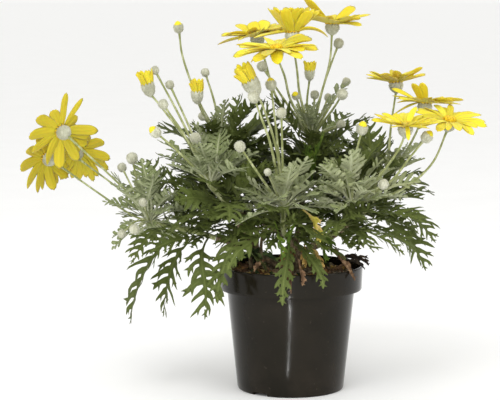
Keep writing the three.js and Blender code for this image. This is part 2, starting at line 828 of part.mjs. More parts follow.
/** The woody base: a short trunk that forks, and a branch to each shoot. */
function makeWood() {
  const limbs = Object.values(WOOD).map(({ path, radii }) => {
    return tube(smoothPath(path.map(vec), BRANCH.steps), radii, BRANCH.limbSides);
  });
  const branches = Object.values(SHOOTS).map(({ wood }) => {
    const path = smoothPath(wood.map(vec), BRANCH.steps);
    return tube(path, [BRANCH.from, BRANCH.to], BRANCH.sides);
  });
  return meshOf('woody_stems', fuse([...limbs, ...branches]), BARK);
}

/** The middle line of a shoot's green stem, from just past its wood to just under its crown. */
function stemPath(shoot) {
  const wood = shoot.wood.map(vec);
  const from = wood[2];
  const hub = vec(shoot.hub);
  const leave = tangentAt(smoothPath(wood, BRANCH.steps), BRANCH.steps);
  const start = from.clone().addScaledVector(leave, GAP + 0.02);
  const bend = start.clone().addScaledVector(leave, hub.distanceTo(from) * 0.33);
  const arrive = hub.clone().sub(bend).normalize();
  const end = hub.clone().addScaledVector(arrive, -CROWN.stub - GAP);
  return { path: smoothPath([start, bend, end], STEM.steps), arrive };
}

const nodeNames = Object.keys(SHOOTS);
const leavesOwner = (name) => OWNERS.leaves + 100 * nodeNames.indexOf(name);
const crownOwner = (name) => OWNERS.crowns + 100 * nodeNames.indexOf(name);
const bloomOwner = (index) => OWNERS.blooms + 100 * index;

function claimPath(path, owner) {
  const points = [];
  for (let i = 0; i < path.length - 1; i += 1) {
    const steps = Math.ceil(path[i].distanceTo(path[i + 1]) / BLADE.sample);
    for (let k = 0; k <= steps; k += 1) points.push(path[i].clone().lerp(path[i + 1], k / steps));
  }
  room.claim(points, owner);
}

function claimBall(centre, radius, owner) {
  const points = [];
  for (let i = -2; i <= 2; i += 1) {
    const tilt = (i * Math.PI) / 5;
    for (let k = 0; k < 8; k += 1) {
      const turn = (k * Math.PI) / 4;
      const out = new THREE.Vector3(Math.cos(turn), Math.sin(turn), 0).multiplyScalar(Math.cos(tilt));
      out.z = Math.sin(tilt);
      points.push(centre.clone().addScaledVector(out, radius));
    }
  }
  room.claim(points, owner);
}

/** A stalk from its shoot's hub to a head, ending a little way into the head. */
function stalkPath(head, into) {
  const hub = vec(SHOOTS[head.shoot].hub);
  const points = [...head.bends.map(vec), into];
  const root = hub.clone().addScaledVector(points[0].clone().sub(hub).normalize(), CROWN.stalkFrom);
  return smoothPath([root, ...points], STALK.steps + head.bends.length);
}

/** A felted round bud; where yellow shows, its top is cut flat for the petals to stand on. */
function budProfile(radius, yellow) {
  const low = [[0, -radius], [0.92 * radius, -0.4 * radius], [0.88 * radius, 0.45 * radius]];
  return [...low, [0, yellow ? 0.45 * radius : radius]];
}

function yellowTipProfile(radius) {
  const base = 0.45 * radius + GAP;
  return [[0, base], [0.74 * radius, base], [0.5 * radius, 1.05 * radius], [0, 1.3 * radius]];
}

const cupProfile = (size) => [
  [0, -CUP.depth * size],
  [CUP.radius * size, -CUP.shoulder * size],
  [CUP.mouth * size, 0],
  [0, 0],
];

/** Petals pushing out of a half-open flower: a fluted tuft with pointed tips round a hollow. */
function tuftGeometry(size) {
  const { folds, hollow, rings } = TUFT;
  const points = [new THREE.Vector3(0, 0, GAP), new THREE.Vector3(0, 0, hollow * size)];
  const faces = [];
  rings.forEach(([out, inside, high, low], row) => {
    for (let k = 0; k < folds; k += 1) {
      const turn = (2 * Math.PI * k) / folds;
      const radius = (k % 2 ? inside : out) * size;
      const height = row === 0 ? GAP : (k % 2 ? low : high) * size;
      points.push(new THREE.Vector3(radius * Math.cos(turn), radius * Math.sin(turn), height));
    }
  });
  for (let k = 0; k < folds; k += 1) {
    const [a, b] = [2 + k, 2 + ((k + 1) % folds)];
    faces.push([0, b, a], [1, a + 2 * folds, b + 2 * folds]);
    [0, folds].forEach((row) => {
      faces.push([a + row, b + row, a + row + folds], [b + row, b + row + folds, a + row + folds]);
    });
  }
  return fromFaces(points, faces);
}

/** The disc of florets: a low dome whose rows stand out and in by turns. */
function discGeometry() {
  const { bottom, foot, radius, height, sides } = DISC;
  const geometry = turned([
    [0, bottom],
    [foot, bottom],
    [radius, bottom + 0.55 * height],
    [0, bottom + height],
  ], sides);
  const place = geometry.attributes.position;
  for (let i = 0; i < place.count; i += 1) {
    const turn = Math.round((Math.atan2(place.getY(i), place.getX(i)) * sides) / (2 * Math.PI));
    const relief = turn % 2 === 0 ? 1 : 0.9;
    if (place.getZ(i) > bottom + 0.1) place.setXY(i, place.getX(i) * relief, place.getY(i) * relief);
  }
  return geometry;
}

/** A petal's middle line in its flower's own frame, with +Z the way that the flower faces. */
function petalArc(azimuth, lift, sag, reach) {
  const out = new THREE.Vector3(Math.cos(azimuth), Math.sin(azimuth), 0);
  const root = out.clone().multiplyScalar(PETAL.start);
  root.z = PETAL.level;
  const rise = deg(lift - sag / 2);
  const span = reach - PETAL.start;
  const tip = root.clone().addScaledVector(out, span * Math.cos(rise));
  tip.z += span * Math.sin(rise);
  return new Arc(root, tip, sag, 0);
}

/** Where a petal's middle and edges run, to test what it would meet. */
function petalSamples(arc, width) {
  const widest = PETAL.widest * arc.length;
  return [
    ...lineOn(arc, [0, 0], [arc.length, 0], 0),
    ...[1, -1].flatMap((side) => [
      ...lineOn(arc, [0, side * PETAL.root], [widest, side * width], 0),
      ...lineOn(arc, [widest, side * width], [arc.length, 0], 0),
    ]),
  ];
}

/** All the petals of a flower, standing out of one flat ring, as one closed mesh. */
function raysGeometry(petals) {
  const half = (RING.top - RING.bottom) / 2;
  const fold = deg(8);
  const faces = [];
  const sheet = (up) => {
    const points = [new THREE.Vector3(0, 0, PETAL.level + up * half)];
    petals.forEach(({ arc, width }) => {
      const widest = PETAL.widest * arc.length;
      const thin = (up * PETAL.thick) / 2;
      points.push(arc.at(0, PETAL.root, up * half, fold), arc.at(0, -PETAL.root, up * half, fold));
      points.push(arc.at(widest, width, thin, fold), arc.at(widest, -width, thin, fold));
      points.push(arc.at(arc.length, 0, thin, fold));
    });
    return points;
  };
  const count = 1 + 5 * petals.length;
  const both = (a, b, c) => faces.push([a, b, c], [a + count, c + count, b + count]);
  const wall = (a, b) => faces.push([b, a, a + count], [b, a + count, b + count]);
  petals.forEach((petal, i) => {
    const [left, right, wideLeft, wideRight, tip] = [1, 2, 3, 4, 5].map((k) => 5 * i + k);
    const next = 5 * ((i + 1) % petals.length) + 2;
    both(0, right, left);
    both(0, left, next);
    both(right, wideRight, wideLeft);
    both(right, wideLeft, left);
    both(wideRight, tip, wideLeft);
    wall(left, next);
    wall(right, wideRight);
    wall(wideRight, tip);
    wall(tip, wideLeft);
    wall(wideLeft, left);
  });
  return fromFaces([...sheet(1), ...sheet(-1)], faces);
}

/** A flower's petals, each raised or lowered until it is clear of what is round the flower. */
function makePetals(bloom, index, frame) {
  const random = seeded(SEEDS.petals + index);
  const owner = bloomOwner(index);
  const width = (PETAL.share * bloom.reach) / 2;
  return Array.from({ length: bloom.petals }, (_, i) => {
    const usual = [
      bloom.lift + (i % 2 ? 4 : -4) + 6 * (random() - 0.5),
      bloom.sag + 10 * (random() - 0.5),
      bloom.reach * (0.93 + 0.12 * random()),
    ];
    const [lift, sag, reach] = bloom.odd[i] ?? usual;
    const azimuth = deg(bloom.spin) + (2 * Math.PI * (i + 0.12 * (random() - 0.5))) / bloom.petals;
    const tries = PETAL_NUDGES.map((nudge) => {
      const arc = petalArc(azimuth, lift + nudge, sag, reach);
      const samples = petalSamples(arc, width).filter((sample) => sample.u > PETAL.clearFrom);
      return { arc, points: samples.map((sample) => sample.point.applyMatrix4(frame)) };
    });
    const clear = tries.find(({ points }) => !room.blocked(points, owner, points.map(() => true)));
    if (!clear) console.warn('petal', i, 'of bloom', index, 'meets something');
    const { arc, points } = clear ?? tries[0];
    room.claim(points, owner);
    return { arc, width };
  });
}

function makeBloom(name, bloom, index) {
  const frame = facingMatrix(vec(bloom.at), vec(bloom.face));
  const rays = solidOf(raysGeometry(makePetals(bloom, index, frame)));
  const head = new THREE.Group();
  head.add(meshOf(`rays_${name}`, rays, YELLOW), meshOf(`disc_${name}`, solidOf(discGeometry()), GOLD));
  head.applyMatrix4(frame);
  return head;
}

const plant = new THREE.Group();
const soil = makeSoil();
plant.add(makePot());
plant.add(meshOf('compost', soil, EARTH));
plant.add(makeWood());

// Room taken by the wood and the green stems
Object.values(WOOD).forEach(({ path }, i) => {
  claimPath(smoothPath(path.map(vec), WOOD_STEPS), OWNERS.wood + i);
});
Object.values(SHOOTS).forEach(({ wood }, i) => {
  claimPath(smoothPath(wood.map(vec), WOOD_STEPS), OWNERS.branches + i);
});
const stems = Object.fromEntries(nodeNames.map((name) => [name, stemPath(SHOOTS[name])]));
nodeNames.forEach((name) => claimPath(stems[name].path, leavesOwner(name) + 1));

// Stalks, buds and cups of each crown, in its own list of solids
const crowns = Object.fromEntries(nodeNames.map((name) => [name, []]));
const stalkCount = Object.fromEntries(nodeNames.map((name) => [name, 1]));

function addHead(head, facing, profile, size, reachIn) {
  const at = vec(head.at);
  const into = at.clone().addScaledVector(facing, -reachIn);
  const path = stalkPath(head, into);
  const frame = facingMatrix(at, facing);
  crowns[head.shoot].push(tube(path, [STALK.foot, STALK.tip], STALK.sides));
  crowns[head.shoot].push(solidOf(turned(profile, size > 5 ? CUP.sides : 6).applyMatrix4(frame)));
  stalkCount[head.shoot] += 1;
  const owner = crownOwner(head.shoot) + stalkCount[head.shoot];
  claimPath(path, owner);
  claimBall(at.clone().addScaledVector(facing, -0.3 * size), size, owner);
  return frame;
}

function budFacing(bud) {
  const points = [vec(SHOOTS[bud.shoot].hub), ...bud.bends.map(vec)];
  return vec(bud.at).sub(points[points.length - 1]).normalize();
}

BUDS.forEach((bud, i) => {
  const facing = budFacing(bud);
  const frame = addHead(bud, facing, budProfile(bud.radius, bud.yellow), bud.radius, 0.7 * bud.radius);
  if (bud.yellow) {
    const tip = solidOf(turned(yellowTipProfile(bud.radius), 6).applyMatrix4(frame));
    plant.add(meshOf(`bud_tip_${i + 1}`, tip, YELLOW));
  }
});
Object.entries(TUFTS).forEach(([name, tuft]) => {
  const facing = vec(tuft.face).normalize();
  const frame = addHead(tuft, facing, cupProfile(tuft.size), TUFT.cupBall, CUP.stalkInto * tuft.size);
  const solid = solidOf(tuftGeometry(tuft.size).applyMatrix4(frame));
  const middle = vec(tuft.at).addScaledVector(facing, TUFT.hollow * tuft.size);
  claimBall(middle, TUFT.ball * tuft.size, OWNERS.tufts);
  plant.add(meshOf(`tuft_${name}`, solid, YELLOW));
});
Object.values(BLOOMS).forEach((bloom) => {
  addHead(bloom, vec(bloom.face).normalize(), cupProfile(1), CUP.ball, CUP.stalkInto);
});
Object.entries(BLOOMS).forEach(([name, bloom], i) => plant.add(makeBloom(name, bloom, i)));

// Young felted leaves fan up from each hub
nodeNames.forEach((name, n) => {
  const shoot = SHOOTS[name];
  const hub = vec(shoot.hub);
  const { arrive } = stems[name];
  const random = seeded(SEEDS.young + n);
  const stub = [-CROWN.stub, CROWN.above].map((reach) => hub.clone().addScaledVector(arrive, reach));
  crowns[name].push(tube(stub, [STEM.radius, CROWN.radius], STEM.sides));
  let missing = 0;
  for (let i = 0; i < shoot.young; i += 1) {
    const turn = GOLDEN_TURN * i + n;
    const rise = deg(shoot.rise + YOUNG.riseSpread * random());
    const length = YOUNG.length + YOUNG.lengthSpread * random();
    const out = new THREE.Vector3(Math.cos(turn), Math.sin(turn), 0);
    const root = hub.clone().addScaledVector(out, CROWN.rootAt);
    const tip = root.clone().addScaledVector(out, length * Math.cos(rise));
    tip.z += length * Math.sin(rise);
    const owner = crownOwner(name) + OWNERS.young + i;
    const leaf = growLeaf(root, tip, YOUNG.sag, 0, YOUNG_LEAF, YOUNG.lobes, owner, YOUNG.free);
    if (leaf) crowns[name].push(leaf);
    else missing += 1;
  }
  if (missing) console.warn('crown', name, 'lacks', missing, 'young leaves');
  plant.add(meshOf(`crown_${name}`, fuse(crowns[name]), FELT));
});

// Green leaves stand out from each stem, first those placed by hand
nodeNames.forEach((name, n) => {
  const shoot = SHOOTS[name];
  const { path } = stems[name];
  const curve = new THREE.CatmullRomCurve3(path, false, 'catmullrom', 0.5);
  const random = seeded(SEEDS.green + n);
  const solids = [tube(path, [STEM.radius, STEM.radius], STEM.sides)];
  let missing = 0;
  const grow = (along, tip, sag, item) => {
    const root = curve.getPoint(0.06 + 0.86 * along);
    const roll = 0.5 * (random() - 0.5);
    const lobes = root.distanceTo(tip) > LONG_LEAF ? 5 : 4;
    const owner = leavesOwner(name) + 2 + item;
    const leaf = growLeaf(root, tip, sag, roll, GREEN_LEAF, lobes, owner, GREEN_FREE);
    if (leaf) solids.push(leaf);
    else missing += 1;
  };
  shoot.leaves.forEach(([along, tip, sag], i) => grow(along, vec(tip), sag, i));
  for (let i = 0; i < shoot.more; i += 1) {
    const along = (i + 0.5) / shoot.more;
    const turn = GOLDEN_TURN * i + 1.3 * n;
    const spread = GREEN_MORE.riseSpread * (random() - 0.5);
    const rise = deg(GREEN_MORE.rise + GREEN_MORE.riseAlong * along + spread);
    const length = GREEN_MORE.length + GREEN_MORE.lengthSpread * random();
    const tip = curve.getPoint(0.06 + 0.86 * along);
    tip.x += length * Math.cos(rise) * Math.cos(turn);
    tip.y += length * Math.cos(rise) * Math.sin(turn);
    tip.z += length * Math.sin(rise);
    grow(along, tip, GREEN_MORE.sag, shoot.leaves.length + i);
  }
  if (missing) console.warn('stem', name, 'lacks', missing, 'leaves');
  plant.add(meshOf(`leaves_${name}`, fuse(solids), GREEN));
});

DEAD_LEAVES.forEach((spot, i) => {
  plant.add(meshOf(`dead_leaf_${i + 1}`, makeDeadLeaf(spot, soil), BROWN));
});

export default plant;
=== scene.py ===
"""A bushy yellow marguerite daisy in a black nursery pot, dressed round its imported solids.

Laid out as an add-on: settings, one operator for each kind of piece, and a panel.
Lengths in the tables are millimetres in the solids' own frame, +Z up and -Y to the front.
"""

import math

import bpy
import numpy as np
from mathutils import Matrix, Vector


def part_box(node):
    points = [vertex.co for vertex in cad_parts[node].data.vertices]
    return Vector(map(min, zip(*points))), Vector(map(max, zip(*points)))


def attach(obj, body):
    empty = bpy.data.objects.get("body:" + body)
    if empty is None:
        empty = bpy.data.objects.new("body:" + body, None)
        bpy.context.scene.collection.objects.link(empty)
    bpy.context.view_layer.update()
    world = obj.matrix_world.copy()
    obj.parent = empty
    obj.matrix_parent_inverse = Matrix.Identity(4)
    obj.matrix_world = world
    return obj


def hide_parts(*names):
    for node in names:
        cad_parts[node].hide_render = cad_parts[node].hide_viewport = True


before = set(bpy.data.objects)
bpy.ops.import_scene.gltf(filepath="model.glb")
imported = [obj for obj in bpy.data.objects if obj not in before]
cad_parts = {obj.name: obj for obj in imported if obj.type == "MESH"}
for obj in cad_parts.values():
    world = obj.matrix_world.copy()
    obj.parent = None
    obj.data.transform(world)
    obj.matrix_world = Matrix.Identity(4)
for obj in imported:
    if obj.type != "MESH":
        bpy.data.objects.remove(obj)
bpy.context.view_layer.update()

bl_info = {
    "name": "Potted daisy",
    "version": (1, 0, 0),
    "blender": (4, 5, 0),
    "location": "3D View > Sidebar > Daisy",
    "description": "Builds a yellow daisy in its pot round the packed solids",
    "category": "Add Mesh",
}

MM = 0.001
GOLDEN_TURN = 2.39996

# Sizes that the solids share with these finer pieces
POT = dict(height=104, rim_radius=60, rim_band=20, neck_radius=53.2, foot_radius=44.5, wall=1.6)
POT |= dict(floor_under=2.5, floor_top=4.3)
CHANNELS = dict(count=6, width=14, start_radius=14, first_angle=234, hole_radius=4, hole_at=31)
SOIL = dict(level=92, lumps=2.4)
STEM = dict(radius=2.2, steps=2)
BRANCH = {"from": 2.7, "to": 2.3, "steps": 2}
WOOD_STEPS = 6
GAP = 0.3
CROWN = dict(above=2, stub=5, root_at=1.8, stalk_from=1.8)
SAMPLE = 1.6
FOLD = 16
ROOM = dict(low=[-270, -180, -10], high=[210, 200, 360], cell=1.8)
GREEN_LEAF = dict(stalk=0.26, reach=0.165, sweep=0.9, rib=1.7)
YOUNG_LEAF = dict(stalk=0.2, reach=0.19, sweep=0.55, rib=2.6)
LONG_LEAF = 68
GREEN_FREE = 9
CUP = dict(ball=6, stalk_into=6.5)
PETAL = dict(clear_from=5, start=4.8, level=0.9, root=0.9, widest=0.66, share=0.285)
TUFT = dict(hollow=7, ball=5, cup_ball=5.1)
LEAF_TRIES = ([1, 0.84, 0.7], [0, 12, -12, 24, -24], [0, 12, -12, 24, -24, 38, -38, 54, -54])
QUICK_TRIES = ([1, 0.8], [0, 14, -14], [0, 14, -14, 28, -28])
PETAL_NUDGES = [0, 8, -8, 16, -16, 26, -26, 38, -38]
SEEDS = dict(petals=100, young=300, green=500, infill=700, fan=900)
OWNERS = dict(wood=101, branches=111, leaves=1000, crowns=3000, blooms=5000, tufts=9001, young=60)


def table(keys, *rows):
    """Named rows, each with its values under the keys."""
    return {row[0]: dict(zip(keys.split(), row[1:])) for row in rows}


WOOD = table(
    "path radii",
    ("trunk", [[0, 0, 74], [0, 0, 101]], [4.8, 4.4]),
    ("left", [[0, 0, 98], [-14, -3, 106], [-30, -6, 117]], [3.4, 2.9]),
    ("front", [[0, -1, 98], [5, -9, 107], [8, -17, 116]], [3.4, 2.9]),
    ("back", [[0, 1, 98], [3, 11, 110], [5, 20, 121]], [3.4, 2.9]),
)

# Each shoot's wood and hub, its long leaves (share up the stem, tip, sag), and how its young leaves rise
SHOOTS = table(
    "wood hub leaves more young rise",
    ("far_left", [[-28, -6, 116], [-45, -8, 122], [-62, -7, 127]], [-117, -8, 141], [
        [0.95, [-156, -14, 150], 40], [0.8, [-146, -34, 113], 60], [0.7, [-133, -22, 60], 50],
        [0.35, [-106, -24, 66], 55], [0.9, [-124, 38, 186], 30], [0.1, [-72, -60, 70], 60],
        [0.5, [-112, 52, 112], 60],
    ], 2, 3, 28),
    ("left", [[-28, -6, 116], [-37, -12, 129], [-44, -19, 142]], [-66, -32, 174], [
        [0.7, [-112, -48, 176], 35], [0.3, [-98, -66, 138], 60], [0.5, [-52, -96, 152], 60],
        [0.1, [-66, -62, 84], 50], [0.85, [-122, -12, 196], 30],
    ], 2, 5, 26),
    ("upper_left", [[-28, -5, 116], [-37, 9, 136], [-43, 20, 156]], [-58, 40, 205], [
        [0.9, [-63, 50, 246], 20], [0.8, [-32, 52, 240], 25], [0.6, [-112, 48, 214], 35],
        [0.3, [-94, 78, 170], 50], [0.4, [-60, 98, 190], 50],
    ], 2, 0, 28),
    ("front", [[8, -16, 115], [2, -22, 121], [-2, -26, 128]], [-7, -42, 155], [
        [0.2, [-6, -76, 84], 70], [0.5, [-48, -84, 112], 70], [0.1, [22, -70, 96], 70],
        [0.6, [20, -98, 132], 60], [0.8, [-44, -92, 160], 50],
    ], 1, 5, 10),
    ("front_right", [[8, -16, 115], [20, -24, 125], [30, -28, 132]], [48, -42, 159], [
        [0.2, [64, -84, 126], 60], [0.6, [84, -76, 122], 60], [0.8, [104, -62, 146], 50],
        [0.4, [34, -96, 128], 60],
    ], 1, 6, 18),
    ("right", [[8, -15, 115], [32, -2, 126], [54, 11, 141]], [82, 25, 174], [
        [0.95, [116, 20, 168], 40], [0.6, [120, -2, 124], 60], [0.4, [111, -12, 102], 60],
        [0.1, [82, -34, 113], 60], [0.7, [122, 46, 158], 50], [0.9, [98, 50, 206], 30],
        [0.8, [58, 56, 216], 30], [0.3, [96, 66, 116], 60],
    ], 2, 1, 26),
    ("top", [[5, 19, 120], [8, 21, 137], [10, 22, 155]], [18, 30, 207], [
        [0.9, [-4, 40, 250], 20], [0.85, [38, 56, 246], 25], [0.6, [70, 46, 228], 30],
        [0.5, [-38, 10, 200], 50], [0.3, [58, -8, 176], 50], [0.4, [10, -42, 190], 50],
        [0.75, [80, 26, 202], 35],
    ], 2, 2, 34),
    ("back_left", [[5, 19, 120], [-14, 37, 129], [-30, 52, 138]], [-54, 82, 172], [], 6, 2, 28),
    ("back_right", [[5, 19, 120], [17, 42, 132], [27, 62, 141]], [44, 94, 166], [], 6, 2, 28),
)
NUMBER = {name: n for n, name in enumerate(SHOOTS)}

# Where each open flower sits and faces, its stalk's bends, and its petals; odd ones by lift, sag and reach
BLOOMS = table(
    "shoot at face bends petals reach lift sag spin odd",
    ("left_1", "far_left", [-188, -12, 216], [-0.5, 0.75, 0.3], [[-137, -8, 167]], 12, 32, 2, 22, 10,
     {1: [12, 24, 30], 8: [10, 20, 22], 9: [2, 8, 34], 10: [4, 8, 32], 11: [28, 10, 20]}),
    ("left_2", "far_left", [-181, 36, 195], [0.15, 0.85, 0.45], [[-128, 10, 154]], 12, 30, 2, 26, 0, {}),
    ("left_3", "far_left", [-203, 12, 192], [-0.62, 0.6, 0.3], [[-138, -1, 149]], 11, 32, 2, 26, 24,
     {0: [2, 26, 19]}),
    ("top_1", "top", [-28, 55, 292], [-0.16, 0.02, 0.98], [[-10, 42, 238], [-22, 51, 274]], 12, 34, 9, 12, 6,
     {2: [36, 10, 27], 3: [42, 10, 25], 4: [36, 12, 29]}),
    ("top_2", "top", [-13, -45, 284], [-0.1, -0.17, 0.98], [[0, -2, 240], [-6, -26, 262]], 12, 36, 6, 16, 0,
     {7: [0, 40, 25], 9: [0, 50, 24]}),
    ("top_3", "top", [1, 5, 296], [-0.02, 0.02, 0.99], [[8, 20, 243], [5, 13, 266]], 12, 30, 47, -6, 12,
     {11: [24, 70, 31], 6: [-4, 10, 33]}),
    ("top_4", "top", [36, 50, 302], [0.04, 0.02, 0.99], [[21, 34, 226], [33, 43, 268]], 11, 30, 16, 8, 10,
     {0: [22, 8, 34], 1: [40, 6, 31], 5: [46, 6, 34], 6: [44, 6, 35], 10: [6, 16, 26]}),
    ("right_1", "right", [90, 45, 253], [-0.04, 0.02, 0.99], [[85, 35, 213]], 12, 28, 27, 8, 0, {}),
    ("right_2", "right", [112, 15, 237], [0.06, 0.04, 0.99], [[96, 21, 195], [105, 19, 212]],
     12, 31, 12, 16, 14, {8: [60, 10, 25], 7: [56, 10, 25], 5: [28, 10, 31], 6: [-18, 20, 31]}),
    ("right_3", "front_right", [90, -55, 223], [0.04, -0.1, 0.99], [[70, -47, 183], [84, -52, 203]],
     12, 29, 16, 10, 4, {9: [0, 70, 20], 2: [44, 10, 25]}),
    ("right_4", "front_right", [128, -25, 225], [0.14, -0.26, 0.95], [[86, -36, 169], [113, -30, 190]],
     12, 31, 12, 22, 8, {}),
)

TUFTS = table(
    "shoot at face size bends",
    ("left", "left", [-117, -20, 253], [-0.3, -0.05, 0.95], 0.95, [[-83, -27, 206], [-104, -23, 234]]),
    ("centre", "front", [-33, -35, 256], [-0.52, -0.1, 0.85], 1.2, [[-12, -38, 200], [-22, -36, 234]]),
    ("upper_left", "upper_left", [-78, 10, 245], [-0.05, 0, 0.99], 0.88, [[-72, 22, 226]]),
    ("top", "top", [16, 26, 262], [0, 0, 1], 0.72, [[14, 28, 235]]),
)

# Buds, numbered as their tips are: shoot, place, radius, whether yellow shows, and the stalk's bends
BUDS = table(
    "shoot at radius yellow bends",
    (1, "upper_left", [-94, 30, 300], 4.4, True, [[-76, 37, 235], [-90, 33, 273]]),
    (2, "left", [-100, -5, 254], 3.6, False, [[-82, -18, 216]]),
    (3, "left", [-110, -45, 218], 4.6, True, [[-92, -41, 202]]),
    (4, "front", [-17, -24, 255], 4.6, True, [[-12, -34, 210]]),
    (5, "front_right", [55, -60, 222], 4.8, True, [[50, -53, 196]]),
    (6, "front_right", [108, -45, 214], 4.8, True, [[78, -44, 177], [95, -44, 198]]),
    (7, "top", [4, 8, 244], 3.4, True, [[10, 20, 228]]),
    (8, "left", [-112, -8, 266], 3.5, False, [[-88, -20, 222]]),
    (9, "left", [-104, -38, 240], 4.1, False, [[-84, -36, 210]]),
    (10, "upper_left", [-72, 42, 262], 3.6, False, [[-64, 40, 236]]),
    (11, "left", [-78, -44, 213], 4.4, False, [[-67, -38, 194]]),
    (12, "upper_left", [-74, 24, 226], 3.6, False, []),
    (13, "far_left", [-131, -12, 194], 4.7, False, [[-126, -9, 170]]),
    (14, "far_left", [-141, 12, 184], 3.8, False, [[-131, 2, 166]]),
    (15, "front", [-42, -75, 209], 4.3, False, [[-28, -62, 187]]),
    (16, "front", [-31, -57, 247], 4.8, False, [[-17, -50, 206], [-25, -54, 230]]),
    (17, "top", [-24, 20, 268], 4.2, False, [[-4, 24, 238]]),
    (18, "front", [-9, -52, 234], 4.1, False, [[-8, -48, 200]]),
    (19, "top", [42, 62, 286], 4.3, False, [[28, 48, 248]]),
    (20, "top", [21, 44, 243], 3.7, False, []),
    (21, "top", [33, 56, 240], 3.4, False, []),
    (22, "top", [48, 46, 254], 3.5, False, [[33, 40, 232]]),
    (23, "top", [42, -4, 246], 4.5, False, [[27, 18, 221], [36, 5, 235]]),
    (24, "top", [42, 12, 220], 3.7, False, []),
    (25, "front_right", [72, -64, 178], 4.1, False, []),
    (26, "far_left", [-121, -34, 160], 3.4, False, []),
    (27, "far_left", [-127, -50, 140], 4.1, False, [[-121, -30, 143]]),
    (28, "far_left", [-139, -26, 133], 3.4, False, [[-128, -16, 142]]),
    (29, "front", [-20, -68, 188], 2.9, False, []),
    (30, "back_left", [-78, 104, 204], 4, False, [[-66, 92, 190]]),
    (31, "back_right", [34, 118, 200], 4.2, False, []),
)

# Finer leaves of each shoot: how many stand between the long ones, how many are upright, how many young ones
# are added; the painted shade on its green leaves (painted light where below zero) and the painted light on
# its young ones (painted shade where below zero); its heart's leaves: how many, and how low and how short the
# lowest and shortest are
FINER = table(
    "infill thicket young shade glow hearts",
    ("far_left", 27, 8, 12, 0, -0.48, [(12, 30, 14), (12, -40, 18)]),
    ("left", 25, 12, 12, 0.05, -0.46, [(12, 36, 20)]),
    ("upper_left", 34, 18, 0, 0.05, -0.26, [(8, 42, 16)]),
    ("front", 34, 9, 14, -0.34, 0.3, [(20, 30, 26)]),
    ("front_right", 26, 13, 13, 0, 0.42, [(26, 6, 28)]),
    ("right", 24, 20, 0, 0.22, 0.36, [(14, 12, 24)]),
    ("top", 34, 36, 3, 0.18, -0.43, [(8, 42, 16)]),
    ("back_left", 34, 32, 5, 0.1, -0.36, [(8, 42, 16)]),
    ("back_right", 34, 26, 5, 0.12, -0.36, [(8, 42, 16)]),
)


def vec(values):
    return np.array(values, float)


def unit(vector):
    return vector / (np.linalg.norm(vector) or 1)


def outward(turn, rise=0.0):
    """A length of one, turned round from +X and raised from the level."""
    return vec([math.cos(rise) * math.cos(turn), math.cos(rise) * math.sin(turn), math.sin(rise)])


def seeded(seed):
    """A repeatable stream of numbers from 0 to 1, the same as the solids are placed with."""
    state = seed

    def draw():
        nonlocal state
        state = (state * 1664525 + 1013904223) % 4294967296
        return state / 4294967296

    return draw


def place_on(points, share):
    """The place at a share of the way along a smooth curve through the points."""
    last = len(points) - 1
    part = min(math.floor(last * share), last - 1)
    weight = last * share - part
    before = points[part - 1] if part > 0 else 2 * points[0] - points[1]
    after = points[part + 2] if part + 2 <= last else 2 * points[last] - points[last - 1]
    start, end = points[part], points[part + 1]
    leave, arrive = 0.5 * (end - before), 0.5 * (after - start)
    square = weight * weight
    cube = square * weight
    turn = -3 * start + 3 * end - 2 * leave - arrive
    close = 2 * start - 2 * end + leave + arrive
    return start + leave * weight + turn * square + close * cube


def smooth_path(points, steps):
    points = [vec(point) for point in points]
    return [place_on(points, i / steps) for i in range(steps + 1)]


def facing_matrix(at, face):
    """The turn that brings +Z to a facing, with +X kept as near the world's right as it can be."""
    axis = unit(vec(face))
    right = unit(vec([1, 0, 0]) - axis * axis[0])
    turn = np.identity(4)
    turn[:3, 0], turn[:3, 1], turn[:3, 2], turn[:3, 3] = right, np.cross(axis, right), axis, at
    return turn


def moved(points, matrix):
    return np.asarray(points) @ matrix[:3, :3].T + matrix[:3, 3]


class Room:
    """The room taken by what is already placed, in small cells that each know who is in them."""

    def __init__(self, low, high, cell):
        self.low, self.cell = vec(low), cell
        self.owners = np.zeros(np.ceil((vec(high) - self.low) / cell).astype(int)[::-1], np.int16)
        self.around = np.stack(np.meshgrid(*[[-1, 0, 1]] * 3, indexing="ij"), -1).reshape(-1, 3)

    def cells(self, points):
        return np.floor((np.asarray(points) - self.low) / self.cell).astype(int)

    def claim(self, points, owner):
        """Owners count from 1 within hundreds, one hundred to a node."""
        near = (self.cells(points)[:, None, :] + self.around[None]).reshape(-1, 3)
        at = (near[:, 2], near[:, 1], near[:, 0])
        held = self.owners[at]
        same = np.where(held // 100 == owner // 100, 100 * (owner // 100), -1)
        self.owners[at] = np.where((held == 0) | (held == owner), owner, same)

    def blocked(self, points, owner, near, brush=0.0):
        """Whether points lie in another's cells; near points may lie in their own node's."""
        at = self.cells(points)
        held = self.owners[at[:, 2], at[:, 1], at[:, 0]]
        free = (held == 0) | (held == owner) | (near & (held // 100 == owner // 100))
        return np.count_nonzero(~free) > brush * len(points)


def in_pot(points):
    """Which points lie in or right beside the pot, its rim or the compost."""
    radius, height = np.hypot(points[:, 0], points[:, 1]), points[:, 2]
    clear = (height > POT["height"] + 2.5) | (radius > POT["rim_radius"] + 2.5)
    over = (radius < POT["rim_radius"] - 4) & (height > SOIL["level"] + 5)
    return (height < 4) | ~(clear | over)


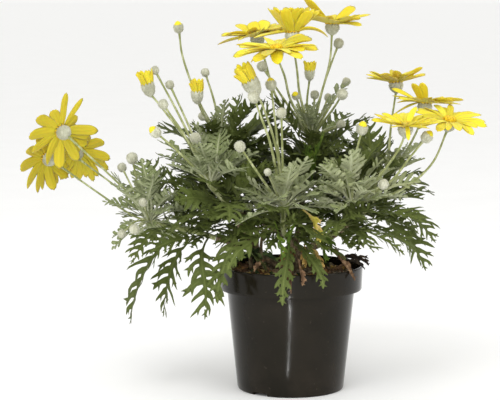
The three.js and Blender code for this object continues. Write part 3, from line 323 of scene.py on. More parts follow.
class Arc:
    """A blade's middle line: an arc from its root to its tip that sags by so many degrees."""

    def __init__(self, root, tip, sag, roll):
        chord = tip - root
        flat = math.hypot(chord[0], chord[1])
        self.root, self.roll = root, roll
        self.sag = math.radians(1 if abs(sag) < 1 else sag)
        self.heading = vec([chord[0] / flat, chord[1] / flat, 0])
        self.start = math.atan2(chord[2], flat) + self.sag / 2
        self.length = np.linalg.norm(chord) * self.sag / 2 / math.sin(self.sag / 2)

    def at(self, along, across, lift=0.0, fold=0.0, twist=0.0):
        """Places so far along and to the left, raised off the face, with the sides folded up."""
        along, across, lift = np.broadcast_arrays(*map(np.asarray, (along, across, lift)))
        bend = self.sag / self.length
        angle = self.start - bend * along
        ahead = (math.sin(self.start) - np.sin(angle)) / bend
        rise = (np.cos(angle) - math.cos(self.start)) / bend
        left = vec([-self.heading[1], self.heading[0], 0])
        out = self.heading * -np.sin(angle)[..., None]
        out[..., 2] = np.cos(angle)
        roll = (self.roll + twist * along / self.length)[..., None]
        side = left * np.cos(roll) + out * np.sin(roll)
        face = out * np.cos(roll) - left * np.sin(roll)
        point = self.root + self.heading * ahead[..., None]
        point[..., 2] += rise
        high = np.abs(across) * math.sin(fold) + lift
        return point + side * (across * math.cos(fold))[..., None] + face * high[..., None]


def bulge(form, share):
    """Half the breadth beside the rib at a share of the way from a leaf's first lobe to its last."""
    return form["rib"] * (0.65 + 0.5 * math.sin(math.pi * share))


def lobe_reach(form, length, share):
    return form["reach"] * length * (0.62 + 0.5 * math.sin(math.pi * share**0.85))


def line_on(start, end):
    """Places along a straight line laid on a blade, closer together than the room's cells."""
    steps = max(1, math.ceil(math.hypot(end[0] - start[0], end[1] - start[1]) / SAMPLE))
    share = np.arange(steps + 1) / steps
    return np.stack([start[k] + (end[k] - start[k]) * share for k in (0, 1)], axis=1)


def leaf_samples(form, length, lobes):
    """Places on the rib of a leaf laid flat and round its lobes, whose tips lean on."""
    start, end = form["stalk"] * length, 0.93 * length
    shares = [i / lobes for i in range(lobes + 1)]
    notches = [(start + (end - start) * share, bulge(form, share)) for share in shares]
    lines = [line_on((0, 0), (length, 0))]
    for i, (low, high) in enumerate(zip(notches, notches[1:])):
        share = (i + 0.5) / lobes
        reach = lobe_reach(form, length, share)
        for side in (1, -1):
            tip = (start + (end - start) * share + form["sweep"] * reach, side * reach)
            for base in ((low[0], side * low[1]), (high[0], side * high[1]), ((low[0] + high[0]) / 2, 0)):
                lines.append(line_on(base, tip))
    return np.concatenate(lines)


def turned_chord(chord, swing, tilt, scale):
    """A chord swung round the vertical, then tilted up, and shortened."""
    swing, tilt = math.radians(swing), math.radians(-tilt)
    cos, sin = math.cos(swing), math.sin(swing)
    chord = vec([cos * chord[0] - sin * chord[1], sin * chord[0] + cos * chord[1], chord[2]])
    level = unit(vec([-chord[1], chord[0], 0]))
    level_part = level * np.dot(level, chord) * (1 - math.cos(tilt))
    return (chord * math.cos(tilt) + np.cross(level, chord) * math.sin(tilt) + level_part) * scale


def grow_leaf(room, root, tip, sag, roll, form, lobes, owner, free, tries=LEAF_TRIES, brush=0.0):
    """Tries a leaf as wanted, then swung, tilted and shortened, until it is clear of all else."""
    chord = tip - root
    for scale in tries[0]:
        samples = leaf_samples(form, Arc(root, root + chord * scale, sag, roll).length, lobes)
        for tilt in tries[1]:
            for swing in tries[2]:
                arc = Arc(root, root + turned_chord(chord, swing, tilt, scale), sag, roll)
                points = arc.at(samples[:, 0], samples[:, 1], 0.0, math.radians(FOLD))
                if in_pot(points[samples[:, 0] > free]).any():
                    continue
                if not room.blocked(points, owner, samples[:, 0] < free, brush):
                    room.claim(points, owner)
                    return [arc]
    return []


def path_points(path):
    points = []
    for start, end in zip(path, path[1:]):
        steps = math.ceil(np.linalg.norm(end - start) / SAMPLE)
        points += [start + (end - start) * k / steps for k in range(steps + 1)]
    return np.array(points)


def ball_points(centre, radius):
    turns = [(k * math.pi / 4, i * math.pi / 5) for i in range(-2, 3) for k in range(8)]
    return np.array([centre + outward(*turn) * radius for turn in turns])


def stem_path(shoot):
    """A shoot's green stem, from just past its wood to just under its crown, and its last heading."""
    wood, hub = [vec(point) for point in shoot["wood"]], vec(shoot["hub"])
    path = smooth_path(wood, BRANCH["steps"])
    leave = unit(path[-1] - path[-2])
    start = wood[2] + leave * (GAP + 0.02)
    bend = start + leave * np.linalg.norm(hub - wood[2]) * 0.33
    arrive = unit(hub - bend)
    return [start, bend, hub - arrive * (CROWN["stub"] + GAP)], arrive


def risen(root, out, reach, rise):
    return root + out * reach * math.cos(rise) + vec([0, 0, reach * math.sin(rise)])


def petal_arc(azimuth, lift, sag, reach):
    """A petal's middle line in its flower's own frame, with +Z the way that the flower faces."""
    out = outward(azimuth)
    root = out * PETAL["start"] + vec([0, 0, PETAL["level"]])
    return Arc(root, risen(root, out, reach - PETAL["start"], math.radians(lift - sag / 2)), sag, 0)


def petal_samples(arc, width):
    widest = PETAL["widest"] * arc.length
    lines = [line_on((0, 0), (arc.length, 0))]
    for side in (1, -1):
        lines.append(line_on((0, side * PETAL["root"]), (widest, side * width)))
        lines.append(line_on((widest, side * width), (arc.length, 0)))
    return np.concatenate(lines)


def plan_petals(room, bloom, index, turn):
    """Each petal raised or lowered until it is clear of what is round its flower."""
    random = seeded(SEEDS["petals"] + index)
    owner = OWNERS["blooms"] + 100 * index
    arcs = []
    for i in range(bloom["petals"]):
        usual = [
            bloom["lift"] + (4 if i % 2 else -4) + 6 * (random() - 0.5),
            bloom["sag"] + 10 * (random() - 0.5),
            bloom["reach"] * (0.93 + 0.12 * random()),
        ]
        lift, sag, reach = bloom["odd"].get(i, usual)
        drift = 0.12 * (random() - 0.5)
        azimuth = math.radians(bloom["spin"]) + 2 * math.pi * (i + drift) / bloom["petals"]
        tries = []
        for nudge in PETAL_NUDGES:
            arc = petal_arc(azimuth, lift + nudge, sag, reach)
            samples = petal_samples(arc, PETAL["share"] * bloom["reach"] / 2)
            samples = samples[samples[:, 0] > PETAL["clear_from"]]
            points = moved(arc.at(samples[:, 0], samples[:, 1]), turn)
            tries.append((arc, points))
            if not room.blocked(points, owner, np.ones(len(points), bool)):
                break
        else:
            tries = tries[:1]
        arc, points = tries[-1]
        room.claim(points, owner)
        arcs.append(arc)
    return arcs


def fan_young(room, name, count, seed, owner, first, rise, length, root_at, sag, free, **how):
    """Felted leaves that fan up from a hub."""
    hub = vec(SHOOTS[name]["hub"])
    random = seeded(seed)
    arcs = []
    for i in range(count):
        out = outward(GOLDEN_TURN * i + first)
        lean = math.radians(rise[0] + rise[1] * random())
        root = hub + out * root_at
        tip = risen(root, out, length[0] + length[1] * random(), lean)
        arcs += grow_leaf(room, root, tip, sag, 0, YOUNG_LEAF, 3, owner + i, free, **how)
    return arcs


def plan_young(room, name, count, seed, owner, length=(32, 12), **how):
    rise, root_at = (SHOOTS[name]["rise"], 40), CROWN["root_at"]
    return fan_young(room, name, count, seed, owner, NUMBER[name], rise, length, root_at, 30, 12, **how)


def plan_green(room, name, path):
    """Leaves that stand out from a stem, first those listed."""
    shoot, n = SHOOTS[name], NUMBER[name]
    random = seeded(SEEDS["green"] + n)
    owner = OWNERS["leaves"] + 100 * n + 2
    arcs = []

    def grow(along, tip, sag, item):
        root = place_on(path, 0.06 + 0.86 * along)
        roll = 0.5 * (random() - 0.5)
        lobes = 5 if np.linalg.norm(tip - root) > LONG_LEAF else 4
        return grow_leaf(room, root, tip, sag, roll, GREEN_LEAF, lobes, owner + item, GREEN_FREE)

    for i, (along, tip, sag) in enumerate(shoot["leaves"]):
        arcs += grow(along, vec(tip), sag, i)
    for i in range(shoot["more"]):
        along = (i + 0.5) / shoot["more"]
        rise = math.radians(-22 + 62 * along + 16 * (random() - 0.5))
        length = 50 + 16 * random()
        tip = place_on(path, 0.06 + 0.86 * along) + outward(GOLDEN_TURN * i + 1.3 * n, rise) * length
        arcs += grow(along, tip, 48, len(shoot["leaves"]) + i)
    return arcs


def infill_green(room, name, path, count, seed, owner, first, rise, length, brush):
    """Smaller leaves between the main ones, from a share up a stem; they may brush each other."""
    random = seeded(seed)
    arcs = []
    for i in range(count):
        along = first + (0.98 - first) * (i + 0.5) / count
        lean = math.radians(rise[0] + rise[1] * along + rise[2] * (random() - 0.5))
        reach = length[0] + length[1] * random()
        roll = 0.7 * (random() - 0.5)
        root = place_on(path, 0.03 + 0.94 * along)
        tip = root + outward(GOLDEN_TURN * i + 2.1 * NUMBER[name] + 0.9, lean) * reach
        arcs += grow_leaf(room, root, tip, 46, roll, GREEN_LEAF, 4, owner + i, 12, QUICK_TRIES, brush)
    return arcs


def plan_growth():
    """Where all that grows stands: first as in the solids, then the finer leaves between."""
    room = Room(**ROOM)
    for limbs, owner, key in ((WOOD, OWNERS["wood"], "path"), (SHOOTS, OWNERS["branches"], "wood")):
        for i, limb in enumerate(limbs.values()):
            room.claim(path_points(smooth_path(limb[key], WOOD_STEPS)), owner + i)
    plan = {"heads": [], "petals": {}, "young": {}, "green": {}, "stems": {}, "hearts": {}}
    for n, (name, shoot) in enumerate(SHOOTS.items()):
        points, arrive = stem_path(shoot)
        path = smooth_path(points, STEM["steps"])
        plan["stems"][name] = {"path": path, "arrive": arrive}
        room.claim(path_points(path), OWNERS["leaves"] + 100 * n + 1)
    counts = dict.fromkeys(SHOOTS, 1)

    def add_head(kind, label, head, facing, size, reach_in, scale):
        at, hub = vec(head["at"]), vec(SHOOTS[head["shoot"]]["hub"])
        bends = [vec(point) for point in head["bends"]] + [at - facing * reach_in]
        bends = [hub + unit(bends[0] - hub) * CROWN["stalk_from"]] + bends
        counts[head["shoot"]] += 1
        owner = OWNERS["crowns"] + 100 * NUMBER[head["shoot"]] + counts[head["shoot"]]
        room.claim(path_points(smooth_path(bends, 1 + len(head["bends"]))), owner)
        room.claim(ball_points(at - 0.3 * size * facing, size), owner)
        turn = facing_matrix(at, facing)
        known = dict(kind=kind, label=label, shoot=head["shoot"], turn=turn, path=bends, scale=scale)
        plan["heads"].append(known)
        return at

    for number, bud in BUDS.items():
        before = bud["bends"][-1] if bud["bends"] else SHOOTS[bud["shoot"]]["hub"]
        facing, radius = unit(vec(bud["at"]) - vec(before)), bud["radius"]
        kind = "open_bud" if bud["yellow"] else "bud"
        add_head(kind, str(number), bud, facing, radius, 0.7 * radius, radius)
    for label, tuft in TUFTS.items():
        facing, size = unit(vec(tuft["face"])), tuft["size"]
        at = add_head("tuft", label, tuft, facing, TUFT["cup_ball"], CUP["stalk_into"] * size, size)
        room.claim(ball_points(at + facing * TUFT["hollow"] * size, TUFT["ball"] * size), OWNERS["tufts"])
    for label, bloom in BLOOMS.items():
        add_head("bloom", label, bloom, unit(vec(bloom["face"])), CUP["ball"], CUP["stalk_into"], 1)
    for index, (label, bloom) in enumerate(BLOOMS.items()):
        turn = facing_matrix(vec(bloom["at"]), vec(bloom["face"]))
        plan["petals"][label] = plan_petals(room, bloom, index, turn)
    for n, name in enumerate(SHOOTS):
        owner = OWNERS["crowns"] + 100 * n + OWNERS["young"]
        plan["young"][name] = plan_young(room, name, SHOOTS[name]["young"], SEEDS["young"] + n, owner)
    for name in SHOOTS:
        plan["green"][name] = plan_green(room, name, plan["stems"][name]["path"])
    for n, name in enumerate(SHOOTS):
        seed, owner = SEEDS["fan"] + n, OWNERS["crowns"] + 100 * n + OWNERS["young"] + 20
        plan["hearts"][name] = []
        for count, low, short in FINER[name]["hearts"]:
            plan["hearts"][name] += fan_young(
                room, name, count, seed, owner, 0.7, (low, 36), (short, 20), 1.2, 24, 14,
                tries=QUICK_TRIES, brush=0.3,
            )
        more = plan_young(room, name, 14, seed + 50, owner + 20, (38, 18), brush=0.34)
        plan["young"][name] += more[: FINER[name]["young"]]
    for n, name in enumerate(SHOOTS):
        seed, owner = SEEDS["infill"] + n, OWNERS["leaves"] + 100 * n + 40
        for count, first, rise, length, brush, base in (
            (FINER[name]["infill"], 0.04, (-18, 66, 30), (36, 26), 0.14, 0),
            (FINER[name]["thicket"], 0.3, (22, 52, 34), (42, 24), 0.34, 1),
        ):
            plan["green"][name] += infill_green(
                room, name, plan["stems"][name]["path"], count, seed + 50 * base, owner + 960 * base,
                first, rise, length, brush,
            )
    return plan


class Build:
    """Points, faces and per-point values gathered for one mesh, in millimetres."""

    def __init__(self):
        self.points, self.faces, self.corners, self.values, self.count = [], [], [], {}, 0

    def add(self, points, faces, uv=None, **values):
        count = len(points)
        self.points.append(np.asarray(points, float))
        self.faces += [tuple(self.count + k for k in face) for face in faces]
        for name in self.values | values:
            before = self.values.get(name, np.zeros(self.count))
            own = np.broadcast_to(np.asarray(values.get(name, 0), float), count)
            self.values[name] = np.concatenate([before, own])
        if uv is not None:
            self.corners.append(np.asarray(uv, float))
        self.count += count

    def piece(self, name, material, sharp=None):
        mesh = bpy.data.meshes.new(name)
        mesh.from_pydata(np.concatenate(self.points) * MM, [], self.faces)
        mesh.shade_smooth()
        if sharp:
            mesh.set_sharp_from_angle(angle=math.radians(sharp))
        for key, value in self.values.items():
            mesh.attributes.new(key, "FLOAT", "POINT").data.foreach_set("value", value)
        if self.corners:
            index = np.zeros(len(mesh.loops), int)
            mesh.loops.foreach_get("vertex_index", index)
            spread = np.concatenate(self.corners)[index].ravel()
            mesh.uv_layers.new(name="lines").data.foreach_set("uv", spread)
        mesh.materials.append(material)
        return add_object(name, mesh)


def add_object(name, data):
    thing = bpy.data.objects.new(name, data)
    bpy.context.scene.collection.objects.link(thing)
    return thing


def dressed(piece, slot, *nodes):
    """Gives a piece its body and hides the solids that it stands for; the slot is not used."""
    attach(piece, "root")
    if nodes:
        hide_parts(*nodes)
    return piece


def grid_faces(rows, columns, closed=False):
    """Quads over a grid of points, row after row; a closed grid joins its last column to its first."""
    faces = []
    for a in range(0, (rows - 1) * columns, columns):
        for k in range(columns if closed else columns - 1):
            right = (k + 1) % columns
            faces.append((a + k, a + right, a + columns + right, a + columns + k))
    return faces


def lathe(rows, turns, ripple=None):
    """A closed turned skin from [radius, height] rows; ripple may shift each point's radius and height."""
    angle = 2 * np.pi * np.arange(turns) / turns
    points = []
    for i, (radius, height) in enumerate(rows):
        out, up = ripple(i, angle) if ripple else (0, 0)
        wide = np.maximum(radius + out, 0)
        points.append(np.stack([wide * np.cos(angle), wide * np.sin(angle), height + up + 0 * angle], 1))
    points = np.concatenate(points)
    low, last = len(points), len(points) - turns
    faces = grid_faces(len(rows), turns, closed=True)
    for k in range(turns):
        right = (k + 1) % turns
        faces += [(low, right, k), (low + 1, last + k, last + right)]
    return np.concatenate([points, [points[:turns].mean(axis=0), points[-turns:].mean(axis=0)]]), faces


def two_sheets(build, arc, flat, lift, edge, faces, thick, fold, twist=0, turn=None, uv=None, **values):
    """A thin closed blade: an upper and an under sheet that share the points of their edge."""
    inner = np.flatnonzero(~edge)
    under = np.arange(len(flat))
    under[inner] = len(flat) + np.arange(len(inner))
    fold = math.radians(fold)
    top = arc.at(flat[:, 0], flat[:, 1], lift + np.where(edge, 0, thick / 2), fold, twist)
    low = arc.at(flat[inner, 0], flat[inner, 1], lift[inner] - thick / 2, fold, twist)
    points = np.concatenate([top, low])
    if turn is not None:
        points = moved(points, turn)
    both = faces + [tuple(int(under[k]) for k in reversed(face)) for face in faces]
    spread = {}
    for name, value in values.items():
        value = np.broadcast_to(np.asarray(value, float), len(flat))
        spread[name] = np.concatenate([value, value[inner]])
    spread["under"] = np.concatenate([np.where(edge, 0.5, 0), np.ones(len(inner))])
    if uv is not None:
        uv = np.concatenate([uv, uv[inner]])
    build.add(points, both, uv=uv, **spread)


class Flat:
    """A leaf laid flat: each point's place along and across, its lift, edge and vein."""

    def __init__(self):
        self.rows, self.faces = [], []

    def put(self, along, across, lift=0.0, edge=True, vein=0.0):
        self.rows.append((along, across, lift, edge, vein))
        return len(self.rows) - 1

    def face(self, side, *corners):
        self.faces.append(corners if side > 0 else corners[::-1])


# How a lobe's outline runs: share of its length, its two half widths, and how far a tooth leans on
CUT_LOBES = [
    [(0.12, 1.4, 1.35, 0, 0), (0.3, 1.0, 0.95, 0, 0), (0.47, 0.85, 1.1, 0, 0), (0.55, 0.84, 2.5, 0, 0.2),
     (0.6, 0.8, 0.82, 0, 0), (0.7, 2.0, 0.75, 0.18, 0), (0.75, 0.68, 0.66, 0, 0), (0.9, 0.4, 0.42, 0, 0)],
    [(0.12, 1.4, 1.35, 0, 0), (0.34, 1.0, 0.95, 0, 0), (0.5, 0.85, 1.1, 0, 0), (0.58, 0.82, 2.3, 0, 0.18),
     (0.64, 0.74, 0.76, 0, 0), (0.86, 0.45, 0.45, 0, 0)],
    [(0.14, 1.35, 1.3, 0, 0), (0.38, 1.0, 0.95, 0, 0), (0.62, 0.85, 0.8, 0, 0), (0.86, 0.5, 0.5, 0, 0)],
]
FELT_LOBES = [
    [(0.16, 1.0, 1.0, 0, 0), (0.36, 0.92, 1.0, 0, 0), (0.5, 1.0, 1.55, 0, 0.09), (0.57, 1.02, 1.08, 0, 0),
     (0.68, 1.55, 1.12, 0.08, 0), (0.76, 1.0, 1.15, 0, 0), (0.9, 0.72, 0.78, 0, 0)],
    [(0.16, 1.0, 1.0, 0, 0), (0.4, 0.95, 1.05, 0, 0), (0.55, 1.05, 1.5, 0, 0.09), (0.62, 1.0, 1.05, 0, 0),
     (0.8, 1.2, 0.95, 0.06, 0), (0.91, 0.68, 0.66, 0, 0)],
]


def add_lobe(flat, base, side, tip, rows, half, curl, vein=1.0):
    """A curved strap with two teeth, from three points on the rib to its tip."""
    root, tip = np.array(flat.rows[base[1]][:2]), np.array(tip)
    span = tip - root
    mid = root + span * [0.3, 0.62]
    length = np.linalg.norm(span)
    for share, low, high, low_lean, high_lean in rows:
        along = (1 - share) ** 2 * root + 2 * share * (1 - share) * mid + share**2 * tip
        run = unit((1 - share) * (mid - root) + share * (tip - mid))
        across = np.array([run[1], -run[0]]) * side
        drop = curl * share * share * length
        row = (
            flat.put(*(along - across * half * low + run * low_lean * length), drop),
            flat.put(*along, drop - 0.3, edge=False, vein=vein),
            flat.put(*(along + across * half * high + run * high_lean * length), drop),
        )
        for k in (0, 1):
            flat.face(side, base[k], base[k + 1], row[k + 1], row[k])
        base = row
    end = flat.put(*tip, curl * length)
    for k in (0, 1):
        flat.face(side, base[k], base[k + 1], end)


def leaf_blade(form, length, lobes, rounded, random, slim, full):
    """A leaf cut to the rib, with toothed lobes that lie within the solid leaf's outline."""
    flat = Flat()
    start, end = form["stalk"] * length * (2.0 if rounded else 1), 0.93 * length
    pitch = (end - start) / lobes
    patterns = FELT_LOBES if rounded else CUT_LOBES
    half = pitch * (0.31 if rounded else 0.18 * full)
    stalk_vein, grown, breadth = (0.75, 1.1, 0.7) if rounded else (0.25, 1.22, 1.2)
    ribs, bases = [], {1: [], -1: []}
    for share in (0, 0.3, 0.6, 0.9):
        along, wide = start * share, 0.75 + 0.25 * abs(2 * share - 1)
        left = flat.put(along, wide, vein=stalk_vein)
        mid = flat.put(along, 0, -0.25 if share else 0, edge=share == 0, vein=1.0)
        ribs.append((left, mid, flat.put(along, -wide, vein=stalk_vein)))
    for i in range(lobes):
        trio = []
        for step in (0.1, 0.5, 0.9):
            wide = bulge(form, (i + step) / lobes) * breadth
            along, slant = start + (i + step) * pitch, 0.16 * pitch
            inner = step == 0.5
            left = flat.put(along + slant, wide, edge=not inner, vein=0.25 * inner)
            mid = flat.put(along, 0, -0.35, edge=False, vein=1.0)
            right = flat.put(along - slant, -wide, edge=not inner, vein=0.25 * inner)
            trio.append((left, mid, right))
        bases[1].append([row[0] for row in trio])
        bases[-1].append([row[2] for row in trio])
        ribs += trio
    for (a, b, c), (d, e, f) in zip(ribs, ribs[1:]):
        flat.faces += [(b, e, d, a), (c, f, e, b)]
    for side in (1, -1):
        for i, base in enumerate(bases[side]):
            share = (i + 0.5) / lobes
            reach = lobe_reach(form, length, share) * grown * slim * (0.66 + 0.44 * random())
            along = start + (end - start) * share + form["sweep"] * reach * (0.7 + 0.5 * random())
            width = half * (0.7 + 0.5 * math.sin(math.pi * share)) * (0.85 + 0.3 * random())
            curl = -0.4 + 0.6 * random()
            tip = (min(along + side * 0.16 * pitch, 1.02 * length), side * reach)
            rows = patterns[int(len(patterns) * random())]
            add_lobe(flat, base, side, tip, rows, width, curl, 0.72 if rounded else 0.85)
    last = ribs[-1]
    flat.rows[last[1]] = (flat.rows[last[1]][0], 0, -0.35, False, 1.0)
    add_lobe(flat, last[::-1], 1, (1.03 * length, 0.0), patterns[0], half * 1.15, -0.1 + 0.2 * random())
    return flat


def add_leaf(build, arc, form, lobes, rounded, random, tone, fold=FOLD, slim=1.0, full=1.0):
    hang = max(0.0, math.sin(arc.sag - arc.start))
    flat = leaf_blade(form, arc.length, lobes, rounded, random, slim, full)
    rows = np.array(flat.rows, float)
    sway = 0.1 * (random() - 0.5) * arc.length
    rows[:, 1] += sway * np.sin(1.6 * np.pi * rows[:, 0] / arc.length)
    wave = 0.6 * np.sin(rows[:, 0] * 0.42 + 6 * random()) * np.clip(np.abs(rows[:, 1]) / 5, 0, 1)
    two_sheets(
        build, arc, rows[:, :2], rows[:, 2] + wave, rows[:, 3] > 0, flat.faces, 0.45, fold,
        (1.1 + 0.7 * hang) * (random() - 0.5), vein=rows[:, 4], tone=tone, share=rows[:, 0] / arc.length,
    )


def add_petal(build, arc, width, random, turn, tone, cup=0.0):
    """A strap of a petal with length grooves and a blunt, three-toothed end."""
    rows, columns = 13, 11
    along, across = np.meshgrid(np.linspace(0, 1, rows), np.linspace(-1, 1, columns), indexing="ij")
    notch = np.sin(np.pi * across / 0.62) ** 2 * np.where(np.abs(across) < 0.7, 1, 0.4)
    uneven = 0.03 * (random() - 0.5) * across
    blunt = 1.02 - 0.15 * np.abs(across) ** 2 - (0.015 + 0.035 * random()) * notch + uneven
    broad = 0.46 + 0.54 * np.clip(along / 0.36, 0, 1) ** 0.7
    broad *= 1 - 0.2 * np.clip((along - 0.82) / 0.18, 0, 1) ** 2
    groove = -0.3 * np.cos(3 * np.pi * across) * np.sin(np.pi * along**0.8)
    lift = groove + (cup + 0.8 * (random() - 0.5)) * across**2 * np.sin(np.pi * along) ** 0.7
    lift += 0.5 * (random() - 0.5) * across * np.sin(2 * np.pi * along)
    edge = (np.abs(across) > 0.999) | (along < 0.001) | (along > 0.999)
    flat = np.stack([(along * blunt * arc.length).ravel(), (across * broad * width).ravel()], 1)
    uv = np.stack([across.ravel() / 2 + 0.5, along.ravel()], 1)
    faces = [face[::-1] for face in grid_faces(rows, columns)]
    two_sheets(
        build, arc, flat, lift.ravel(), edge.ravel(), faces, 0.5, 8, 1.1 * (random() - 0.5),
        turn=turn, uv=uv, tone=tone, share=along.ravel(),
    )


# The skins of cups and buds as rows of radius and height; the rows where their scales stand out, with how far
# out, how far up and how far round; how many ribs run up them; and whether the scales grow with the size
BUD_ROWS = [
    (0.22, -1.12), (0.36, -1.0), (0.66, -0.84), (0.84, -0.62), (0.93, -0.42), (0.87, -0.37), (0.97, -0.12),
    (1.0, 0.12), (0.93, 0.2), (0.94, 0.36), (0.84, 0.58),
]
BUD_TIPS = {4: (0.03, 0.1, 0), 5: (0.02, 0.1, 0), 7: (0.04, 0.12, math.pi), 8: (0.02, 0.12, math.pi),
            10: (0.03, 0.1, 0)}
BRACTS = {
    "bloom": ([
        (1.0, -9.3), (1.5, -8.6), (3.2, -7.6), (4.7, -6.1), (5.3, -5.2), (4.9, -4.9), (5.9, -3.7),
        (6.25, -2.6), (5.8, -2.3), (6.0, -1.2), (5.5, -0.2), (5.2, 0.5), (4.6, 0.3), (4.0, -0.4), (1.5, -0.6),
    ], {
        4: (0.15, 0.7, 0), 5: (0.1, 0.7, 0), 7: (0.2, 0.8, math.pi), 8: (0.1, 0.8, math.pi),
        10: (0.15, 0.5, 0), 11: (0.2, 0.9, 0), 12: (0.1, 0.7, 0),
    }, 13, False),
    "tuft": ([
        (0.9, -9.4), (1.4, -8.8), (2.7, -7.9), (4.0, -6.4), (4.9, -4.8), (4.7, -4.4), (5.5, -2.8),
        (5.9, -1.2), (5.6, -0.8), (5.9, 0.6), (5.9, 2.2), (5.5, 2.9), (4.9, 1.6), (3.6, 0.2), (1.2, 0.0),
    ], {
        4: (0.12, 0.7, 0), 5: (0.1, 0.7, 0), 7: (0.16, 0.8, math.pi), 8: (0.1, 0.8, math.pi),
        10: (0.12, 0.5, 0), 11: (0.2, 1.0, 0), 12: (0.1, 0.7, 0),
    }, 11, False),
    "bud": (BUD_ROWS + [(0.66, 0.78), (0.56, 0.8), (0.42, 0.92), (0.2, 0.99)], BUD_TIPS, 11, True),
    "open_bud": (BUD_ROWS + [(0.74, 0.5), (0.6, 0.42), (0.2, 0.4)], BUD_TIPS, 11, True),
}
# The closed petals that show at the top of an opening bud, as rows of radius and height
TIP_ROWS = [
    (0.3, 0), (0.66, 0.02), (0.76, 0.12), (0.74, 0.3), (0.62, 0.5), (0.45, 0.68), (0.24, 0.82), (0.08, 0.88),
]


def bract_skin(kind, size):
    """A cup of overlapping scales: ribs run up it, and at each row of tips they stand out."""
    rows, tips, ribs, swelling = BRACTS[kind]
    by = size if swelling else 1

    def ripple(i, angle):
        if i not in tips:
            return 0.09 * np.cos(ribs * angle), 0
        out, up, phase = tips[i]
        wave = np.cos(ribs * angle + phase)
        return out * by * wave, up * by * wave

    return lathe([(r * size, z * size) for r, z in rows], ribs * 4, ripple)


def tip_skin(radius, folds=9):
    def ripple(i, angle):
        deep = 0.07 if 1 < i < 7 else 0.02
        return -deep * radius * np.abs(np.sin(folds * angle / 2 + 0.25 * i)) ** 0.6, 0

    return lathe([(r * radius, (0.42 + z) * radius) for r, z in TIP_ROWS], folds * 6, ripple)


class Wire:
    """A node's output, to reckon with: each sum, difference, product, quotient or power is a Math node."""

    def __init__(self, owner, socket):
        self.owner, self.socket = owner, socket

    def math(self, operation, *values):
        return self.owner.add("ShaderNodeMath", dict(enumerate(values or (self,))), operation=operation)

    def __add__(self, other):
        return self.math("ADD", self, other)

    def __sub__(self, other):
        return self.math("SUBTRACT", self, other)

    def __rsub__(self, other):
        return self.math("SUBTRACT", other, self)

    def __mul__(self, other):
        return self.math("MULTIPLY", self, other)

    def __truediv__(self, other):
        return self.math("DIVIDE", self, other)

    def __pow__(self, other):
        return self.math("POWER", self, other)

    __radd__, __rmul__ = __add__, __mul__


class Tree:
    """A node tree; each node added to it comes back as a wire from one of its outputs."""

    def __init__(self, tree):
        self.tree = tree

    def add(self, kind, inputs=None, out=0, **settings):
        """A node with its settings, and each input linked where a wire is given, or else set."""
        node = self.tree.nodes.new(kind)
        for key, value in settings.items():
            setattr(node, key, value)
        for key, value in (inputs or {}).items():
            if isinstance(value, Wire):
                self.tree.links.new(value.socket, node.inputs[key])
            else:
                node.inputs[key].default_value = value
        return Wire(self, node.outputs[out]) if len(node.outputs) else node


class Growth(Tree):
    """A Geometry Nodes tree with a geometry input, named inputs and a geometry output."""

    def __init__(self, name, **inputs):
        super().__init__(bpy.data.node_groups.new(name, "GeometryNodeTree"))
        for label, kind in ({"Geometry": "Geometry"} | inputs).items():
            self.tree.interface.new_socket(label, in_out="INPUT", socket_type="NodeSocket" + kind)
        self.tree.interface.new_socket("Geometry", in_out="OUTPUT", socket_type="NodeSocketGeometry")
        outputs = self.tree.nodes.new("NodeGroupInput").outputs
        self.given = {socket.name: Wire(self, socket) for socket in outputs}

    def copies(self, points, shape, rotation, size, **more):
        inputs = {"Points": points, "Instance": shape, "Rotation": rotation, "Scale": size}
        return self.add("GeometryNodeInstanceOnPoints", inputs | more)

    def end(self, geometry, material, smooth=True):
        """Ends the tree in plain geometry with its material."""
        real = self.add("GeometryNodeRealizeInstances", {"Geometry": geometry})
        shade = self.add("GeometryNodeSetShadeSmooth", {0: real, "Shade Smooth": smooth})
        done = self.add("GeometryNodeSetMaterial", {"Geometry": shade, "Material": material})
        self.add("NodeGroupOutput", {0: done})
        return self.tree


def grown(name, source, tree, values, turn=None):
    """The plain mesh that a tree makes of a source mesh, as a new object without the modifier."""
    carrier = add_object(name + "_source", source)
    modifier = carrier.modifiers.new("growth", "NODES")
    modifier.node_group = tree
    for item in tree.interface.items_tree:
        if item.in_out == "INPUT" and item.name in values:
            modifier[item.identifier] = values[item.name]
    graph = bpy.context.evaluated_depsgraph_get()
    mesh = bpy.data.meshes.new_from_object(carrier.evaluated_get(graph))
    bpy.data.objects.remove(carrier)
    bpy.data.meshes.remove(source)
    mesh.name = name
    if turn is not None:
        mesh.transform(turn)
    return add_object(name, mesh)


def path_mesh(paths):
    """Loose edges along each path, with each point's radius kept as a value; metres."""
    points, edges, radii = [], [], []
    for path, radius in paths:
        base = len(points)
        points += [tuple(p) for p in np.asarray(path) * MM]
        edges += [(base + i, base + i + 1) for i in range(len(path) - 1)]
        radii += list(np.asarray(radius, float) * MM)
    mesh = bpy.data.meshes.new("paths")
    mesh.from_pydata(points, edges, [])
    mesh.attributes.new("radius", "FLOAT", "POINT").data.foreach_set("value", radii)
    return mesh


